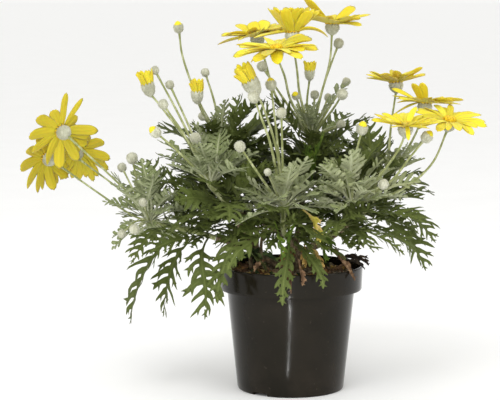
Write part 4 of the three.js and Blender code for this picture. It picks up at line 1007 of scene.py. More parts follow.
def tube_tree(material):
    """Sweeps a round section along every path, and roughens it like skin or bark."""
    tree = Growth("tubes", Sides="Int", Roughness="Float", Grain="Float", Step="Float")
    given = tree.given
    curve = tree.add("GeometryNodeMeshToCurve", {"Mesh": given["Geometry"]})
    even = tree.add("GeometryNodeResampleCurve", {"Curve": curve, "Length": given["Step"]}, mode="LENGTH")
    radius = tree.add("GeometryNodeInputNamedAttribute", {"Name": "radius"}, "Attribute", data_type="FLOAT")
    ring = {"Resolution": given["Sides"], "Radius": 1.0}
    section = tree.add("GeometryNodeCurvePrimitiveCircle", ring, mode="RADIUS")
    sweep = {"Curve": even, "Profile Curve": section, "Scale": radius, "Fill Caps": True}
    tube = tree.add("GeometryNodeCurveToMesh", sweep)
    grain = tree.add("ShaderNodeTexNoise", {"Scale": given["Grain"], "Detail": 3.0})
    depth = (grain - 0.5) * given["Roughness"]
    normal = tree.add("GeometryNodeInputNormal")
    push = tree.add("ShaderNodeVectorMath", {0: normal, "Scale": depth}, operation="SCALE")
    return tree.end(tree.add("GeometryNodeSetPosition", {"Geometry": tube, "Offset": push}), material)


# How far out on a disc, as a share of its radius, the closed florets give way to open ones
FLORETS_OPEN = 0.62


def floret_tree(material):
    """Florets set on a dome in a sunflower spiral, small beads inside and open cups outside."""
    tree = Growth("florets", Count="Int", Radius="Float", Height="Float", Floret="Float")
    given = tree.given
    points = tree.add("GeometryNodePoints", {"Count": given["Count"]})
    index = tree.add("GeometryNodeInputIndex")
    share = (index + 0.5) / given["Count"]
    out = share.math("SQRT")
    turn = index * GOLDEN_TURN
    radius = out * given["Radius"]
    level = (1.0 - out**2.4) - (1.0 - out) * 0.18
    place = {0: radius * turn.math("COSINE"), 1: radius * turn.math("SINE"), 2: level * given["Height"]}
    position = tree.add("ShaderNodeCombineXYZ", place)
    put = tree.add("GeometryNodeSetPosition", {"Geometry": points, "Position": position})
    turned = tree.add("ShaderNodeCombineXYZ", {1: out**2.0 * 1.15, 2: turn})
    rotation = tree.add("FunctionNodeEulerToRotation", {0: turned})
    ball = tree.add("GeometryNodeMeshIcoSphere", {"Radius": 0.5, "Subdivisions": 2})
    bead = tree.add("GeometryNodeTransform", {"Geometry": ball, "Scale": (0.8, 0.8, 1.5)})
    sizes = {"Vertices": 10, "Side Segments": 2, "Radius Top": 0.62, "Radius Bottom": 0.26, "Depth": 1.9}
    cup = tree.add("GeometryNodeMeshCone", sizes, fill_type="TRIANGLE_FAN")
    spread = {2: 0.85, 3: 1.15, "ID": index, "Seed": 3}
    jitter = tree.add("FunctionNodeRandomValue", spread, 1, data_type="FLOAT")
    size = (0.72 + share * 0.42) * jitter * given["Floret"]
    closed = out.math("LESS_THAN", out, FLORETS_OPEN)
    opened = out.math("GREATER_THAN", out, FLORETS_OPEN)
    beads = tree.copies(put, bead, rotation, size, Selection=closed)
    cups = tree.copies(put, cup, rotation, size, Selection=opened)
    both = tree.add("GeometryNodeJoinGeometry", {0: beads})
    for more in (cups, given["Geometry"]):
        tree.tree.links.new(more.socket, both.socket.node.inputs[0])
    return tree.end(both, material)


def scatter_tree(name, material, shape):
    """Small shapes scattered over a surface; those of one seed always lie in the same places."""
    tree = Growth(name, Density="Float", Size="Float", Spread="Float", Seed="Int")
    given = tree.given
    ground = {"Mesh": given["Geometry"], "Density": given["Density"], "Seed": given["Seed"]}
    points = tree.add("GeometryNodeDistributePointsOnFaces", ground, "Points")
    standing = Wire(tree, points.socket.node.outputs["Rotation"])
    spread = {2: 1.0 - given["Spread"], 3: 1.0 + given["Spread"], "Seed": given["Seed"]}
    size = tree.add("FunctionNodeRandomValue", spread, 1, data_type="FLOAT") * given["Size"]
    lean = {0: (-0.5, -0.5, -3.1), 1: (0.5, 0.5, 3.1), "Seed": given["Seed"]}
    swing = tree.add("FunctionNodeRandomValue", lean, data_type="FLOAT_VECTOR")
    swing = tree.add("FunctionNodeEulerToRotation", {0: swing})
    rotation = tree.add("FunctionNodeRotateRotation", {0: standing, 1: swing}, rotation_space="LOCAL")
    return tree.end(tree.copies(points, shape(tree), rotation, size), material, smooth=False)


def hair_shape(tree):
    """A three-sided hair that stands on its root."""
    sizes = {"Vertices": 3, "Radius Top": 0.0, "Radius Bottom": 0.075, "Depth": 1.0}
    return tree.add("GeometryNodeMeshCone", sizes, fill_type="NONE")


def crumb_shape(tree):
    """A lump with a few flat sides, longer than it is wide."""
    lump = tree.add("GeometryNodeMeshIcoSphere", {"Radius": 0.5, "Subdivisions": 1})
    return tree.add("GeometryNodeTransform", {"Geometry": lump, "Scale": (1.0, 0.7, 0.55)})


def chip_shape(tree):
    """A splinter of wood that lies on the compost."""
    return tree.add("GeometryNodeMeshCube", {"Size": (3.2, 0.5, 0.3)})


def rgb(colour):
    """Red, green and blue; a bare number is a grey."""
    return (colour,) * 3 if isinstance(colour, (int, float)) else tuple(colour)


def shaded(colour, *by):
    """A colour made darker or lighter, by one number or by one for each of its parts."""
    return tuple(min(1, part * share) for part, share in zip(colour, by * 3))


class Look(Tree):
    """A material with one shader, whose textures are laid by the object's own place."""

    def __init__(self, name):
        self.material = bpy.data.materials.new(name)
        self.material.use_nodes = True
        super().__init__(self.material.node_tree)
        self.tree.nodes.clear()
        self.where = self.add("ShaderNodeTexCoord", out="Object")

    def noise(self, scale, detail=4.0, rough=0.55, stretch=None, where=None):
        where = where or self.where
        if stretch:
            where = self.add("ShaderNodeMapping", {"Vector": where, "Scale": stretch})
        inputs = {"Vector": where, "Scale": scale, "Detail": detail, "Roughness": rough}
        return self.add("ShaderNodeTexNoise", inputs)

    def ramp(self, share, *stops):
        out = self.add("ShaderNodeValToRGB", {"Fac": share})
        points = out.socket.node.color_ramp.elements
        while len(points) < len(stops):
            points.new(0.5)
        for point, (place, colour) in zip(points, stops):
            point.position, point.color = place, (*rgb(colour), 1)
        return out

    def mix(self, share, first, second, blend="MIX"):
        first, second = (c if isinstance(c, Wire) else (*rgb(c), 1) for c in (first, second))
        inputs = {0: share, 6: first, 7: second}
        return self.add("ShaderNodeMix", inputs, 2, data_type="RGBA", blend_type=blend)

    def value(self, name):
        """A value that the mesh keeps for each of its points."""
        return self.add("ShaderNodeAttribute", out="Fac", attribute_name=name)

    def end(self, colour, dull, relief=None, **fixed):
        """Joins colour, roughness (by a share, from and to) and relief (height, strength, distance)."""
        if isinstance(dull, tuple):
            dull = self.ramp(dull[0], (0.3, dull[1]), (0.7, dull[2]))
        inputs = {key.replace("_", " "): value for key, value in fixed.items()}
        inputs |= {"Base Color": colour, "Roughness": dull}
        if relief:
            relief = dict(zip(("Height", "Strength", "Distance"), relief))
            inputs["Normal"] = self.add("ShaderNodeBump", relief)
        self.add("ShaderNodeOutputMaterial", {"Surface": self.add("ShaderNodeBsdfPrincipled", inputs)})
        return self.material


def plastic_look(name, settings):
    """Black plastic with dry earth clouded over its foot, fine specks and smears."""
    look = Look(name)
    dust = look.ramp(look.noise(26, 5), (0.42, 0), (0.75, 1))
    height = look.add("ShaderNodeSeparateXYZ", {0: look.where}, 2)
    low = look.add("ShaderNodeMapRange", {0: height, 1: 0.0, 2: 0.03, 3: 1.0, 4: 0.25})
    colour = look.mix(dust * low * settings.dust, settings.plastic, (0.16, 0.12, 0.09))
    specks = look.ramp(look.noise(420, 2), (0.7, 0), (0.76, 1))
    colour = look.mix(specks * 0.12, colour, (0.2, 0.16, 0.12))
    smears = {0: look.noise(60, 4, 0.6, (1, 1, 0.25)), 1: 0.3, 2: 0.7}
    smears |= {3: settings.roughness - 0.05, 4: settings.roughness + 0.09}
    dull = look.add("ShaderNodeMapRange", smears)
    grain = look.noise(900, 2) + look.noise(90, 2)
    return look.end(colour, dull, (grain, 0.12, 0.0002), Specular_IOR_Level=0.15)


def compost_look(name, settings):
    look = Look(name)
    both = look.noise(160, 8, 0.7) * 0.6 + look.noise(260, 5, 0.6, (0.25, 1.4, 1)) * 0.4
    dark, light = settings.dark, settings.light
    colour = look.ramp(both, (0.36, shaded(dark, 0.5)), (0.5, dark), (0.58, light), (0.7, shaded(light, 1.7)))
    return look.end(colour, (both, 0.72, 1), (both, 0.9, 0.0012), Specular_IOR_Level=0.25)


def bark_look(name):
    look = Look(name)
    flakes = look.noise(420, 6, 0.65, (1, 1, 0.35))
    rings = look.noise(300, 3, 0.5, (0.4, 0.4, 1.6))
    browns = (0.32, (0.05, 0.034, 0.02)), (0.5, (0.17, 0.12, 0.065)), (0.68, (0.36, 0.29, 0.19))
    mossy = look.ramp(rings, (0.5, 0), (0.66, 0.5))
    colour = look.mix(mossy, look.ramp(flakes, *browns), (0.14, 0.15, 0.07))
    return look.end(colour, (rings, 0.7, 0.95), (flakes, 0.7, 0.0006), Specular_IOR_Level=0.3)


def leaf_look(name, dark, light, pale, tip, rough, sheen, specular, ribs):
    """Green or felted leaf: its tone with painted light and shade in it, pale ribs, another colour to the
    tip, a duller underside.
    """
    look = Look(name)
    tone, vein, under = (look.value(key) for key in ("tone", "vein", "under"))
    mottle, fine = look.noise(130, 4, 0.6), look.noise(900, 3, 0.6)
    share = tone * 0.75 + (mottle - 0.5) * 1.5
    colour = look.ramp(share, (0.05, shaded(dark, 0.6)), (0.35, dark), (0.65, light), (0.95, pale))
    colour = look.mix(fine * 0.3, colour, shaded(dark, 0.75), "MULTIPLY")
    along = look.value("share") + (mottle - 0.5)
    colour = look.mix(look.ramp(along + (0.8 - tone) * 0.4, (0.28, 0), (0.8, 0.85)), colour, tip)
    colour = look.mix(look.ramp(along, (0.12, ribs), (0.56, 0)), colour, shaded(pale, 0.95))
    colour = look.mix(look.ramp(fine, (0.5, 0), (0.62, 0.35 * ribs)), colour, pale)
    colour = look.mix(vein**3.0 * ribs, colour, pale)
    colour = look.mix(under * (0.1 + 0.5 * ribs), colour, shaded(pale, 0.75))
    return look.end(
        colour, (fine, rough - 0.08, rough + 0.08), (fine + vein * -1.2, 0.35, 0.0003),
        Specular_IOR_Level=specular, Sheen_Weight=sheen, Sheen_Roughness=0.4,
    )


def skin_look(name, dark, light, sheen):
    """Felted skin of stalks, cups and buds, streaked along with finer hair."""
    look = Look(name)
    streaks = look.noise(500, 4, 0.6, (1, 1, 0.3))
    share = (streaks + look.noise(90, 3)) * 0.5
    colour = look.ramp(share, (0.34, shaded(dark, 0.8)), (0.48, dark), (0.62, light))
    return look.end(
        colour, (streaks, 0.7, 0.92), (streaks, 0.5, 0.0003),
        Specular_IOR_Level=0.25, Sheen_Weight=sheen, Sheen_Roughness=0.35,
    )


def petal_look(name, settings):
    """Yellow petals: fine lines along them, deeper at the root, a little light through."""
    look, petal = Look(name), settings.petal
    long = look.noise(16, 3, 0.6, (1.6, 0.12, 1), look.add("ShaderNodeUVMap", uv_map="lines"))
    tone = look.value("tone")
    yellows = (0.15, shaded(petal, 0.86, 0.8, 0.6)), (0.5, petal), (0.85, shaded(petal, 1.06, 1.12, 3))
    colour = look.ramp(tone * 0.6 + long * 0.4, *yellows)
    root = look.ramp(look.value("share"), (0.0, 0.6), (0.3, 0))
    colour = look.mix(root, colour, shaded(petal, 0.86, 0.74, 0.4))
    # Undersides darker and duller: partly the petals' own backs, partly painted shade
    colour = look.mix(look.value("under") * 0.75, colour, shaded(petal, 0.82, 0.75, 1.6))
    # Petals of low tone are darkened; this is painted shade on the far left flowers, whose tone is lowered
    colour = look.mix(1.0, colour, look.ramp(tone, (0.0, (0.77, 0.81, 0.7)), (0.12, 1)), "MULTIPLY")
    return look.end(
        colour, (long, 0.45, 0.65), (long, 0.4, 0.0004), Specular_IOR_Level=0.3,
        Subsurface_Weight=0.12, Subsurface_Scale=0.002, Sheen_Weight=0.15,
    )


def floret_look(name, settings):
    look, gold = Look(name), settings.floret
    spots = look.noise(700, 3)
    colour = look.ramp(spots, (0.35, shaded(gold, 0.45)), (0.5, gold), (0.66, shaded(gold, 1.1, 1.3, 1.4)))
    return look.end(
        colour, (spots, 0.75, 0.55), (look.noise(1500, 2), 0.4, 0.0002),
        Specular_IOR_Level=0.3, Subsurface_Weight=0.1, Subsurface_Scale=0.001,
    )


def withered_look(name, dark, light):
    look = Look(name)
    patches = look.noise(150, 5, 0.65)
    colour = look.ramp(patches, (0.34, shaded(dark, 0.5)), (0.5, dark), (0.64, light))
    colour = look.mix(look.value("vein") ** 2.0 * 0.5, colour, shaded(dark, 0.6))
    relief = (look.noise(500, 5), 0.7, 0.0006)
    return look.end(colour, (patches, 0.75, 0.95), relief, Specular_IOR_Level=0.2)


def floor_look(name, settings):
    look = Look(name)
    colour = look.mix(look.noise(9, 4) * 0.12, settings.floor, 0.6)
    return look.end(colour, (look.noise(40, 3), 0.6, 0.75), Specular_IOR_Level=0.2)


def shared_look(name, make, *given):
    """A material that several pieces share is made once."""
    return bpy.data.materials.get(name) or make(name, *given)


def stalk_look(settings):
    return shared_look("stalk_felted", skin_look, settings.stalk_dark, settings.stalk_light, 0.3)


PLAN = {}


def growth():
    """Where all that grows stands, worked out once."""
    if not PLAN:
        PLAN.update(plan_growth())
    return PLAN


def finer(points, each):
    """A smooth path through a few points, with so many steps between each pair."""
    return np.array(smooth_path(points, each * (len(points) - 1)))


def tapered(points, each, start, end):
    """A finer path, and a radius that runs evenly from one end's to the other's."""
    path = finer(points, each)
    return path, np.linspace(start, end, len(path))


def tubes(name, slot, paths, look, sides, roughness, grain, step, *nodes):
    """Paths swept with a round, roughened section, as one piece."""
    values = {"Sides": sides, "Roughness": roughness * MM, "Grain": grain, "Step": step * MM}
    dressed(grown(name, path_mesh(paths), tube_tree(look), values), slot, *nodes)


def scattered(name, slot, source, tree, density, size, spread, seed):
    """Small shapes strewn over a surface, as one piece."""
    values = {"Density": density, "Size": size * MM, "Spread": spread, "Seed": seed}
    dressed(grown(name, source, tree, values), slot)


def soil_height(x, y):
    """The height of the lumpy compost at a place."""
    coarse = np.sin(0.16 * x + 1.3) * np.cos(0.14 * y - 0.4)
    fine = np.sin(0.37 * x - 0.29 * y + 2) + 0.6 * np.cos(0.33 * x + 0.41 * y)
    back = 4.5 * np.clip((y + 5) / 30, 0, 1)
    heap = 2.5 * np.exp(-((x + 4) ** 2 + (y + 12) ** 2) / 900)
    return SOIL["level"] + back + heap + SOIL["lumps"] * coarse + 0.9 * fine


def pot_rows():
    """The pot's section: up the outside, over the rim and down the inside, as radius and height."""
    height, rim, neck, foot = (POT[key] for key in ("height", "rim_radius", "neck_radius", "foot_radius"))
    wall, floor = POT["wall"], POT["floor_top"]
    step = height - POT["rim_band"]
    rows = [(foot - 1.6, 0), (foot - 0.6, 0.4), (foot, 1.8)]
    for share in np.linspace(0.06, 0.98, 14):
        rows.append((foot + (neck - foot) * share, 1.8 + (step - 1.8) * share))
    return rows + [
        (neck + 0.15, step - 0.5), (neck + 0.7, step - 0.1), (rim - 2.0, step), (rim - 1.1, step + 0.15),
        (rim - 0.8, step + 0.7), (rim - 0.72, step + 3), (rim - 0.4, step + 11), (rim - 0.15, height - 3),
        (rim, height - 1.5), (rim - 0.1, height - 0.7), (rim - 0.45, height - 0.15), (rim - 0.95, height),
        (rim - 1.5, height - 0.15), (rim - 1.9, height - 0.6), (rim - 2.0, height - 3),
        (rim - wall - 0.7, step + wall + 1), (rim - wall - 1.2, step + wall + 0.2),
        (neck - wall + 0.5, step + wall), (neck - wall, step + wall - 0.6),
        (foot - wall + 0.4, floor + 4), (foot - wall - 0.4, floor + 0.8), (foot - wall - 2, floor),
    ]


def cutters():
    """Blocks and rods that cut the channels and the drain holes from under the pot."""
    build = Build()
    half, deep = CHANNELS["width"] / 2, POT["floor_under"]
    start, reach = CHANNELS["start_radius"], POT["foot_radius"] + 4
    corners = ((start, -half), (reach, -half), (reach, half), (start, half))
    box = [(x, y, z) for z in (-deep, deep) for x, y in corners]
    walls = [(3, 2, 1, 0), (4, 5, 6, 7), (0, 1, 5, 4), (1, 2, 6, 5), (2, 3, 7, 6), (3, 0, 4, 7)]
    rod, sides = lathe([(CHANNELS["hole_radius"], -6), (CHANNELS["hole_radius"], 9)], 20)
    for i in range(CHANNELS["count"]):
        angle = math.radians(CHANNELS["first_angle"] + 360 / CHANNELS["count"] * i)
        turn = np.identity(4)
        turn[:2, :2] = [[math.cos(angle), -math.sin(angle)], [math.sin(angle), math.cos(angle)]]
        build.add(moved(box, turn), walls)
        build.add(moved(rod + [CHANNELS["hole_at"], 0, 0], turn), sides)
    return build


def make_pot(settings):
    look = plastic_look("pot_plastic", settings)
    build = Build()
    build.add(*lathe(pot_rows(), settings.sides))
    pot = build.piece("pot_shell", look)
    tool = cutters().piece("pot_cutters", look)
    cut = pot.modifiers.new("channels", "BOOLEAN")
    cut.operation, cut.object, cut.solver = "DIFFERENCE", tool, "EXACT"
    graph = bpy.context.evaluated_depsgraph_get()
    mesh = bpy.data.meshes.new_from_object(pot.evaluated_get(graph))
    pot.modifiers.clear()
    pot.data = mesh
    bpy.data.objects.remove(tool)
    mesh.shade_smooth()
    mesh.set_sharp_from_angle(angle=math.radians(35))
    dressed(pot, "pot plastic", "pot")


def soil_build():
    """The compost's skin: a lumpy top, and a plain body that fills the pot under it."""
    ledge = POT["height"] - POT["rim_band"] + POT["wall"] + GAP
    under = POT["neck_radius"] - POT["wall"] - GAP - 0.1
    edge = POT["rim_radius"] - POT["wall"] - 1.1 - GAP
    foot, floor = POT["foot_radius"] - POT["wall"], POT["floor_top"] + GAP
    rows = [(foot - 2.6, floor), (foot - 0.4, floor + 2), (under, ledge), (edge, ledge)]
    rows += [(edge * share, SOIL["level"]) for share in np.sqrt(np.linspace(1, 0.0006, 46))]
    points, faces = lathe(rows, 160)
    top = points[:, 2] > SOIL["level"] - 0.5
    x, y = points[top, 0], points[top, 1]
    grit = np.sin(1.7 * x + 2 * np.sin(0.9 * y)) * np.cos(1.9 * y + 1.4 * np.sin(1.1 * x))
    crumbs = 0.5 * grit + 0.35 * np.sin(3.1 * x + 1.3 * y) * np.sin(2.7 * y - 0.8 * x)
    points[top, 2] = soil_height(x, y) + crumbs
    build = Build()
    build.add(points, faces)
    return build


def soil_patch(name, radius, turns=48):
    """Only the top of the compost, as a surface to scatter over; metres."""
    shares = np.linspace(1, 0.04, 14)
    angle = 2 * np.pi * np.arange(turns) / turns
    x = (radius * shares[:, None] * np.cos(angle)).ravel()
    y = (radius * shares[:, None] * np.sin(angle)).ravel()
    points = np.stack([x, y, soil_height(x, y) + 0.3], 1)
    mesh = bpy.data.meshes.new(name)
    mesh.from_pydata(points * MM, [], grid_faces(len(shares), turns, closed=True))
    return mesh


def root_path(random):
    """A fibre that wanders over the compost from a place within 46 mm of its middle, up to the pot's wall."""
    x, y = 46 * (random() - 0.5) * 2, 46 * (random() - 0.5) * 2
    heading = 2 * math.pi * random()
    path = []
    for _ in range(9):
        heading += 1.1 * (random() - 0.5)
        x, y = x + 3.2 * math.cos(heading), y + 3.2 * math.sin(heading)
        if math.hypot(x, y) > 53:
            break
        path.append((x, y, float(soil_height(x, y)) + 0.9 + 0.9 * random()))
    return path


def make_compost(settings):
    look = compost_look("compost_earth", settings)
    dressed(soil_build().piece("compost_heap", look), "compost", "compost")
    ground, tree = soil_patch("crumb_ground", 56), scatter_tree("crumbs", look, crumb_shape)
    scattered("compost_crumbs", "compost", ground, tree, settings.crumbs, 2.0, 0.55, 4)
    wood = withered_look("chip_brown", (0.2, 0.12, 0.06), (0.56, 0.42, 0.27))
    ground, tree = soil_patch("chip_ground", 54), scatter_tree("chips", wood, chip_shape)
    scattered("bark_chips", "bark", ground, tree, settings.crumbs * 0.2, 2.1, 0.65, 9)
    random = seeded(SEEDS["fan"] + 77)
    paths = [root_path(random) for _ in range(settings.roots)]
    paths = [tapered(path, 3, 0.34, 0.12) for path in paths if len(path) > 3]
    root = withered_look("root_pale", (0.2, 0.13, 0.07), (0.5, 0.4, 0.26))
    tubes("root_fibres", "bark", paths, root, 5, 0.1, 500.0, 1.2)


# Thin bare twigs that stand in the compost beside the stems
TWIGS = [
    [[-33, -12, 103], [-34, -18, 122], [-31, -20, 142]],
    [[-27, -14, 103], [-28, -19, 124], [-27, -16, 140]],
    [[-22, -20, 104], [-25, -22, 120], [-23, -24, 136]],
]


def make_wood():
    paths = [tapered(limb["path"], 8, *limb["radii"]) for limb in WOOD.values()]
    for i, shoot in enumerate(SHOOTS.values()):
        path = finer(shoot["wood"], 8)
        share = np.linspace(0, 1, len(path))
        knots = 0.22 * np.maximum(0, np.sin(9 * share + i)) ** 6
        paths.append((path, BRANCH["from"] + (BRANCH["to"] - BRANCH["from"]) * share + knots))
    paths += [tapered(path, 6, 1.7, 1.1) for path in TWIGS]
    tubes("bark_stems", "bark", paths, bark_look("bark_brown"), 16, 0.9, 420.0, 1.3, "woody_stems")


# Leaves narrower than the rest, by their stem and place on it
SLIM = {("left", 3): 0.6, ("front", 0): 0.62, ("front", 1): 0.62, ("front", 2): 0.5, ("front", 13): 0.6}
# Heights in millimetres: the rim's shade ends, painted on leaves whose tips hang below it; upper leaves
# begin; upper leaves are broadest
SHADE_TOP, UPPER, HIGH = 112, 145, 140


def make_leaves(settings):
    """The green leaves of every stem, and the stems themselves."""
    plan = growth()
    look = shared_look(
        "leaf_green", leaf_look, settings.green_dark, settings.green_light, settings.green_pale,
        shaded(settings.green_light, 0.78), 0.62, 0.0, 0.2, 0.3,
    )
    for name, n in NUMBER.items():
        build = Build()
        random = seeded(SEEDS["green"] + 40 + n)
        main = len(SHOOTS[name]["leaves"]) + SHOOTS[name]["more"]
        for i, arc in enumerate(plan["green"][name]):
            level, tip_level = arc.root[2], arc.at(arc.length, 0)[2]
            # Lighter the higher the root stands, low infill leaves darker; then the shoot's painted shade,
            # and painted shade where the tip hangs below SHADE_TOP
            tone = 0.6 * random() - 0.06 + 0.44 * max(0, min(1, (level - 110) / 160))
            if i >= main:
                tone += 0.1 if level > UPPER else -0.14
            tone -= FINER[name]["shade"] + (0.36 if tip_level < SHADE_TOP else 0)
            lobes = settings.lobes + (1 if arc.length > 52 else 0)
            fold = FOLD + 8 * (random() - 0.5)
            full = 1.12 if i < main else 1.65 if level > HIGH else 0.88
            add_leaf(build, arc, GREEN_LEAF, lobes, False, random, tone, fold, SLIM.get((name, i), 1), full)
        dressed(build.piece(f"leaves_{name}_cut", look, 60), "green leaves", "leaves_" + name)
    radius = STEM["radius"]
    paths = [tapered(stem["path"], 8, radius, radius) for stem in plan["stems"].values()]
    tubes("green_stems", "felted stalks", paths, stalk_look(settings), 12, 0.35, 300.0, 1.6)


def make_crowns(settings):
    """Stalks, cups, buds, hubs and young leaves of every shoot, and the felt on them."""
    plan = growth()
    leaf = shared_look(
        "leaf_felted", leaf_look, settings.felt_dark, settings.felt_light, settings.felt_pale,
        settings.felt_tip, 0.85, 0.05, 0.15, 0.7,
    )
    cup = shared_look("bud_felted", skin_look, settings.bud_dark, settings.bud_light, 0.5)
    hair = shared_look("felt_hair", skin_look, settings.bud_light, settings.hair, 0.6)
    felt = scatter_tree("hairs", hair, hair_shape)
    stalks = []
    for name, n in NUMBER.items():
        node, glow = "crown_" + name, FINER[name]["glow"]
        build = Build()
        random = seeded(SEEDS["young"] + 40 + n)
        # Young leaves and hearts get their shoot's painted light (painted shade where below zero); one front
        # leaf is darker
        for i, arc in enumerate(plan["young"][name]):
            tone = 0.4 + 0.5 * random() + glow - (0.7 if (name, i) == ("front", 8) else 0)
            lobes = 6 if arc.length > 40 else 5
            add_leaf(build, arc, YOUNG_LEAF, lobes, True, random, tone, FOLD + 10 * (random() - 0.3))
        for arc in plan["hearts"][name]:
            add_leaf(build, arc, YOUNG_LEAF, 4, True, random, 0.5 + 0.4 * random() + glow, 30)
        dressed(build.piece("young_" + name, leaf, 60), "felted stalks", node)
        cups = Build()
        for head in plan["heads"]:
            if head["shoot"] == name:
                points, faces = bract_skin(head["kind"], head["scale"])
                cups.add(moved(points, head["turn"]), faces)
                path = finer(head["path"], 9)
                share = np.linspace(0, 1, len(path))
                thick = 0.9 if name == "far_left" else 1.25
                flare = 0.35 * np.maximum(0, share - 0.88) / 0.12
                stalks.append((path, thick - (thick - 0.75) * share + flare))
        hub, arrive = vec(SHOOTS[name]["hub"]), plan["stems"][name]["arrive"]
        ends = [-15, -8, -1.5, CROWN["above"] + 1]
        stalks.append((np.array([hub + arrive * end for end in ends]), [1.8, 2.3, 3.0, 2.2]))
        piece = dressed(cups.piece("cups_" + name, cup, 50), "felted stalks", node)
        scattered("felt_" + name, "felted stalks", piece.data.copy(), felt, settings.hairs, 0.85, 0.35, n)
    tubes("stalks", "felted stalks", stalks, stalk_look(settings), 10, 0.12, 500.0, 1.8)


# Petals of the inner row, where they aren't as many as those of the outer
INNER_PETALS = {"left_1": 2, "left_2": 5, "left_3": 4}
# Petals narrower or broader than the rest, by their place in the row
ODD_WIDTHS = {"left_1": {9: 0.62, 10: 0.5}, "right_3": {9: 0.45, 2: 0.75}, "right_2": {6: 0.8}}
BROAD = {"top_1": 1.1, "top_3": 1.25, "top_4": 1.12, "right_3": 0.86, "right_4": 0.84, "right_2": 0.94}
# The skin under a disc's florets, as rows of radius and height
DISC_ROWS = [(1.2, 0.9), (3.6, 1.0), (4.1, 1.8), (4.9, 2.5), (4.8, 3.3), (4.2, 4.0), (2.6, 4.3), (0.8, 4.0)]


def make_flowers(settings):
    """Petals and discs of the open flowers."""
    plan = growth()
    petal = shared_look("petal_yellow", petal_look, settings)
    tree = floret_tree(shared_look("floret_gold", floret_look, settings))
    values = {"Count": settings.florets, "Radius": 4.4 * MM, "Height": 2.9 * MM, "Floret": 1.02 * MM}
    for index, (name, bloom) in enumerate(BLOOMS.items()):
        turn = facing_matrix(vec(bloom["at"]), vec(bloom["face"]))
        random = seeded(SEEDS["petals"] + 60 + index)
        width = 1.04 * PETAL["share"] * bloom["reach"] / 2 * BROAD.get(name, 1)
        build = Build()
        # Painted shade: the far left flowers' petals get a lower tone, so the petal look darkens them
        dull = 0.9 if bloom["shoot"] == "far_left" else 0
        for i, arc in enumerate(plan["petals"][name]):
            broad = width * (0.9 + 0.2 * random()) * ODD_WIDTHS.get(name, {}).get(i, 1)
            add_petal(build, arc, broad, random, turn, random() - dull, 0.9 * random() - 0.3)
        for i in range(INNER_PETALS.get(name, bloom["petals"])):
            azimuth = math.radians(bloom["spin"])
            azimuth += 2 * math.pi * (i + 0.5 + 0.25 * (random() - 0.5)) / bloom["petals"]
            lift = bloom["lift"] + (-9 if name == "right_1" else 7) + 9 * (random() - 0.5)
            sag = bloom["sag"] + 16 * (random() - 0.5)
            arc = petal_arc(azimuth, lift, sag, bloom["reach"] * (0.82 + 0.15 * random()))
            broad = width * (0.72 + 0.22 * random())
            add_petal(build, arc, broad, random, turn, random() - dull, 0.9 * random() - 0.3)
        dressed(build.piece("petals_" + name, petal), "petals", "rays_" + name)
        points, faces = lathe(DISC_ROWS, 32)
        mesh = bpy.data.meshes.new("dome")
        mesh.from_pydata(points * MM, [], faces)
        raised = Matrix(turn.tolist())
        raised.translation = raised.translation * MM
        dressed(grown("florets_" + name, mesh, tree, values, raised), "florets", "disc_" + name)


# Rings of petals in a half-open flower: how many, their radius at foot and tip, and their height
TUFT_RINGS = [(10, 4.3, 6.4, 14.2), (8, 3.0, 4.6, 12.6), (6, 1.6, 2.6, 10)]


def make_opening(settings):
    """Half-open flowers, and the yellow that shows at the tip of a bud."""
    petal = shared_look("petal_yellow", petal_look, settings)
    for head in growth()["heads"]:
        size, name = head["scale"], head["label"]
        random = seeded(SEEDS["petals"] + 80 + len(name) + int(10 * size))
        build = Build()
        if head["kind"] == "tuft":
            for ring, (count, foot, tip, high) in enumerate(TUFT_RINGS):
                for i in range(count):
                    out = outward(2 * math.pi * (i + 0.5 * ring + 0.3 * (random() - 0.5)) / count)
                    top = high * (0.8 + 0.3 * random())
                    root = (out * foot + vec([0, 0, 0.2])) * size
                    end = (out * (tip + 2.6 * (random() - 0.4)) + vec([0, 0, top])) * size
                    arc = Arc(root, end, 20 - 50 * random(), 0.5 * (random() - 0.5))
                    broad = (2.1 + 0.9 * random()) * size
                    add_petal(build, arc, broad, random, head["turn"], random(), 1.3)
            dressed(build.piece("opening_" + name, petal), "petals", "tuft_" + name)
        elif head["kind"] == "open_bud":
            points, faces = tip_skin(size)
            build.add(moved(points, head["turn"]), faces, uv=points[:, :2] / 5 + 0.5, tone=0.35, share=0.4)
            dressed(build.piece("bud_yellow_" + name, petal), "petals", "bud_tip_" + name)


# Dead leaves of the solids: the middle's place on the compost, turn in degrees and length
DEAD_LEAVES = [([-27, -31], 20, 24), ([31, -29], 130, 24), ([9, -43], -12, 22)]
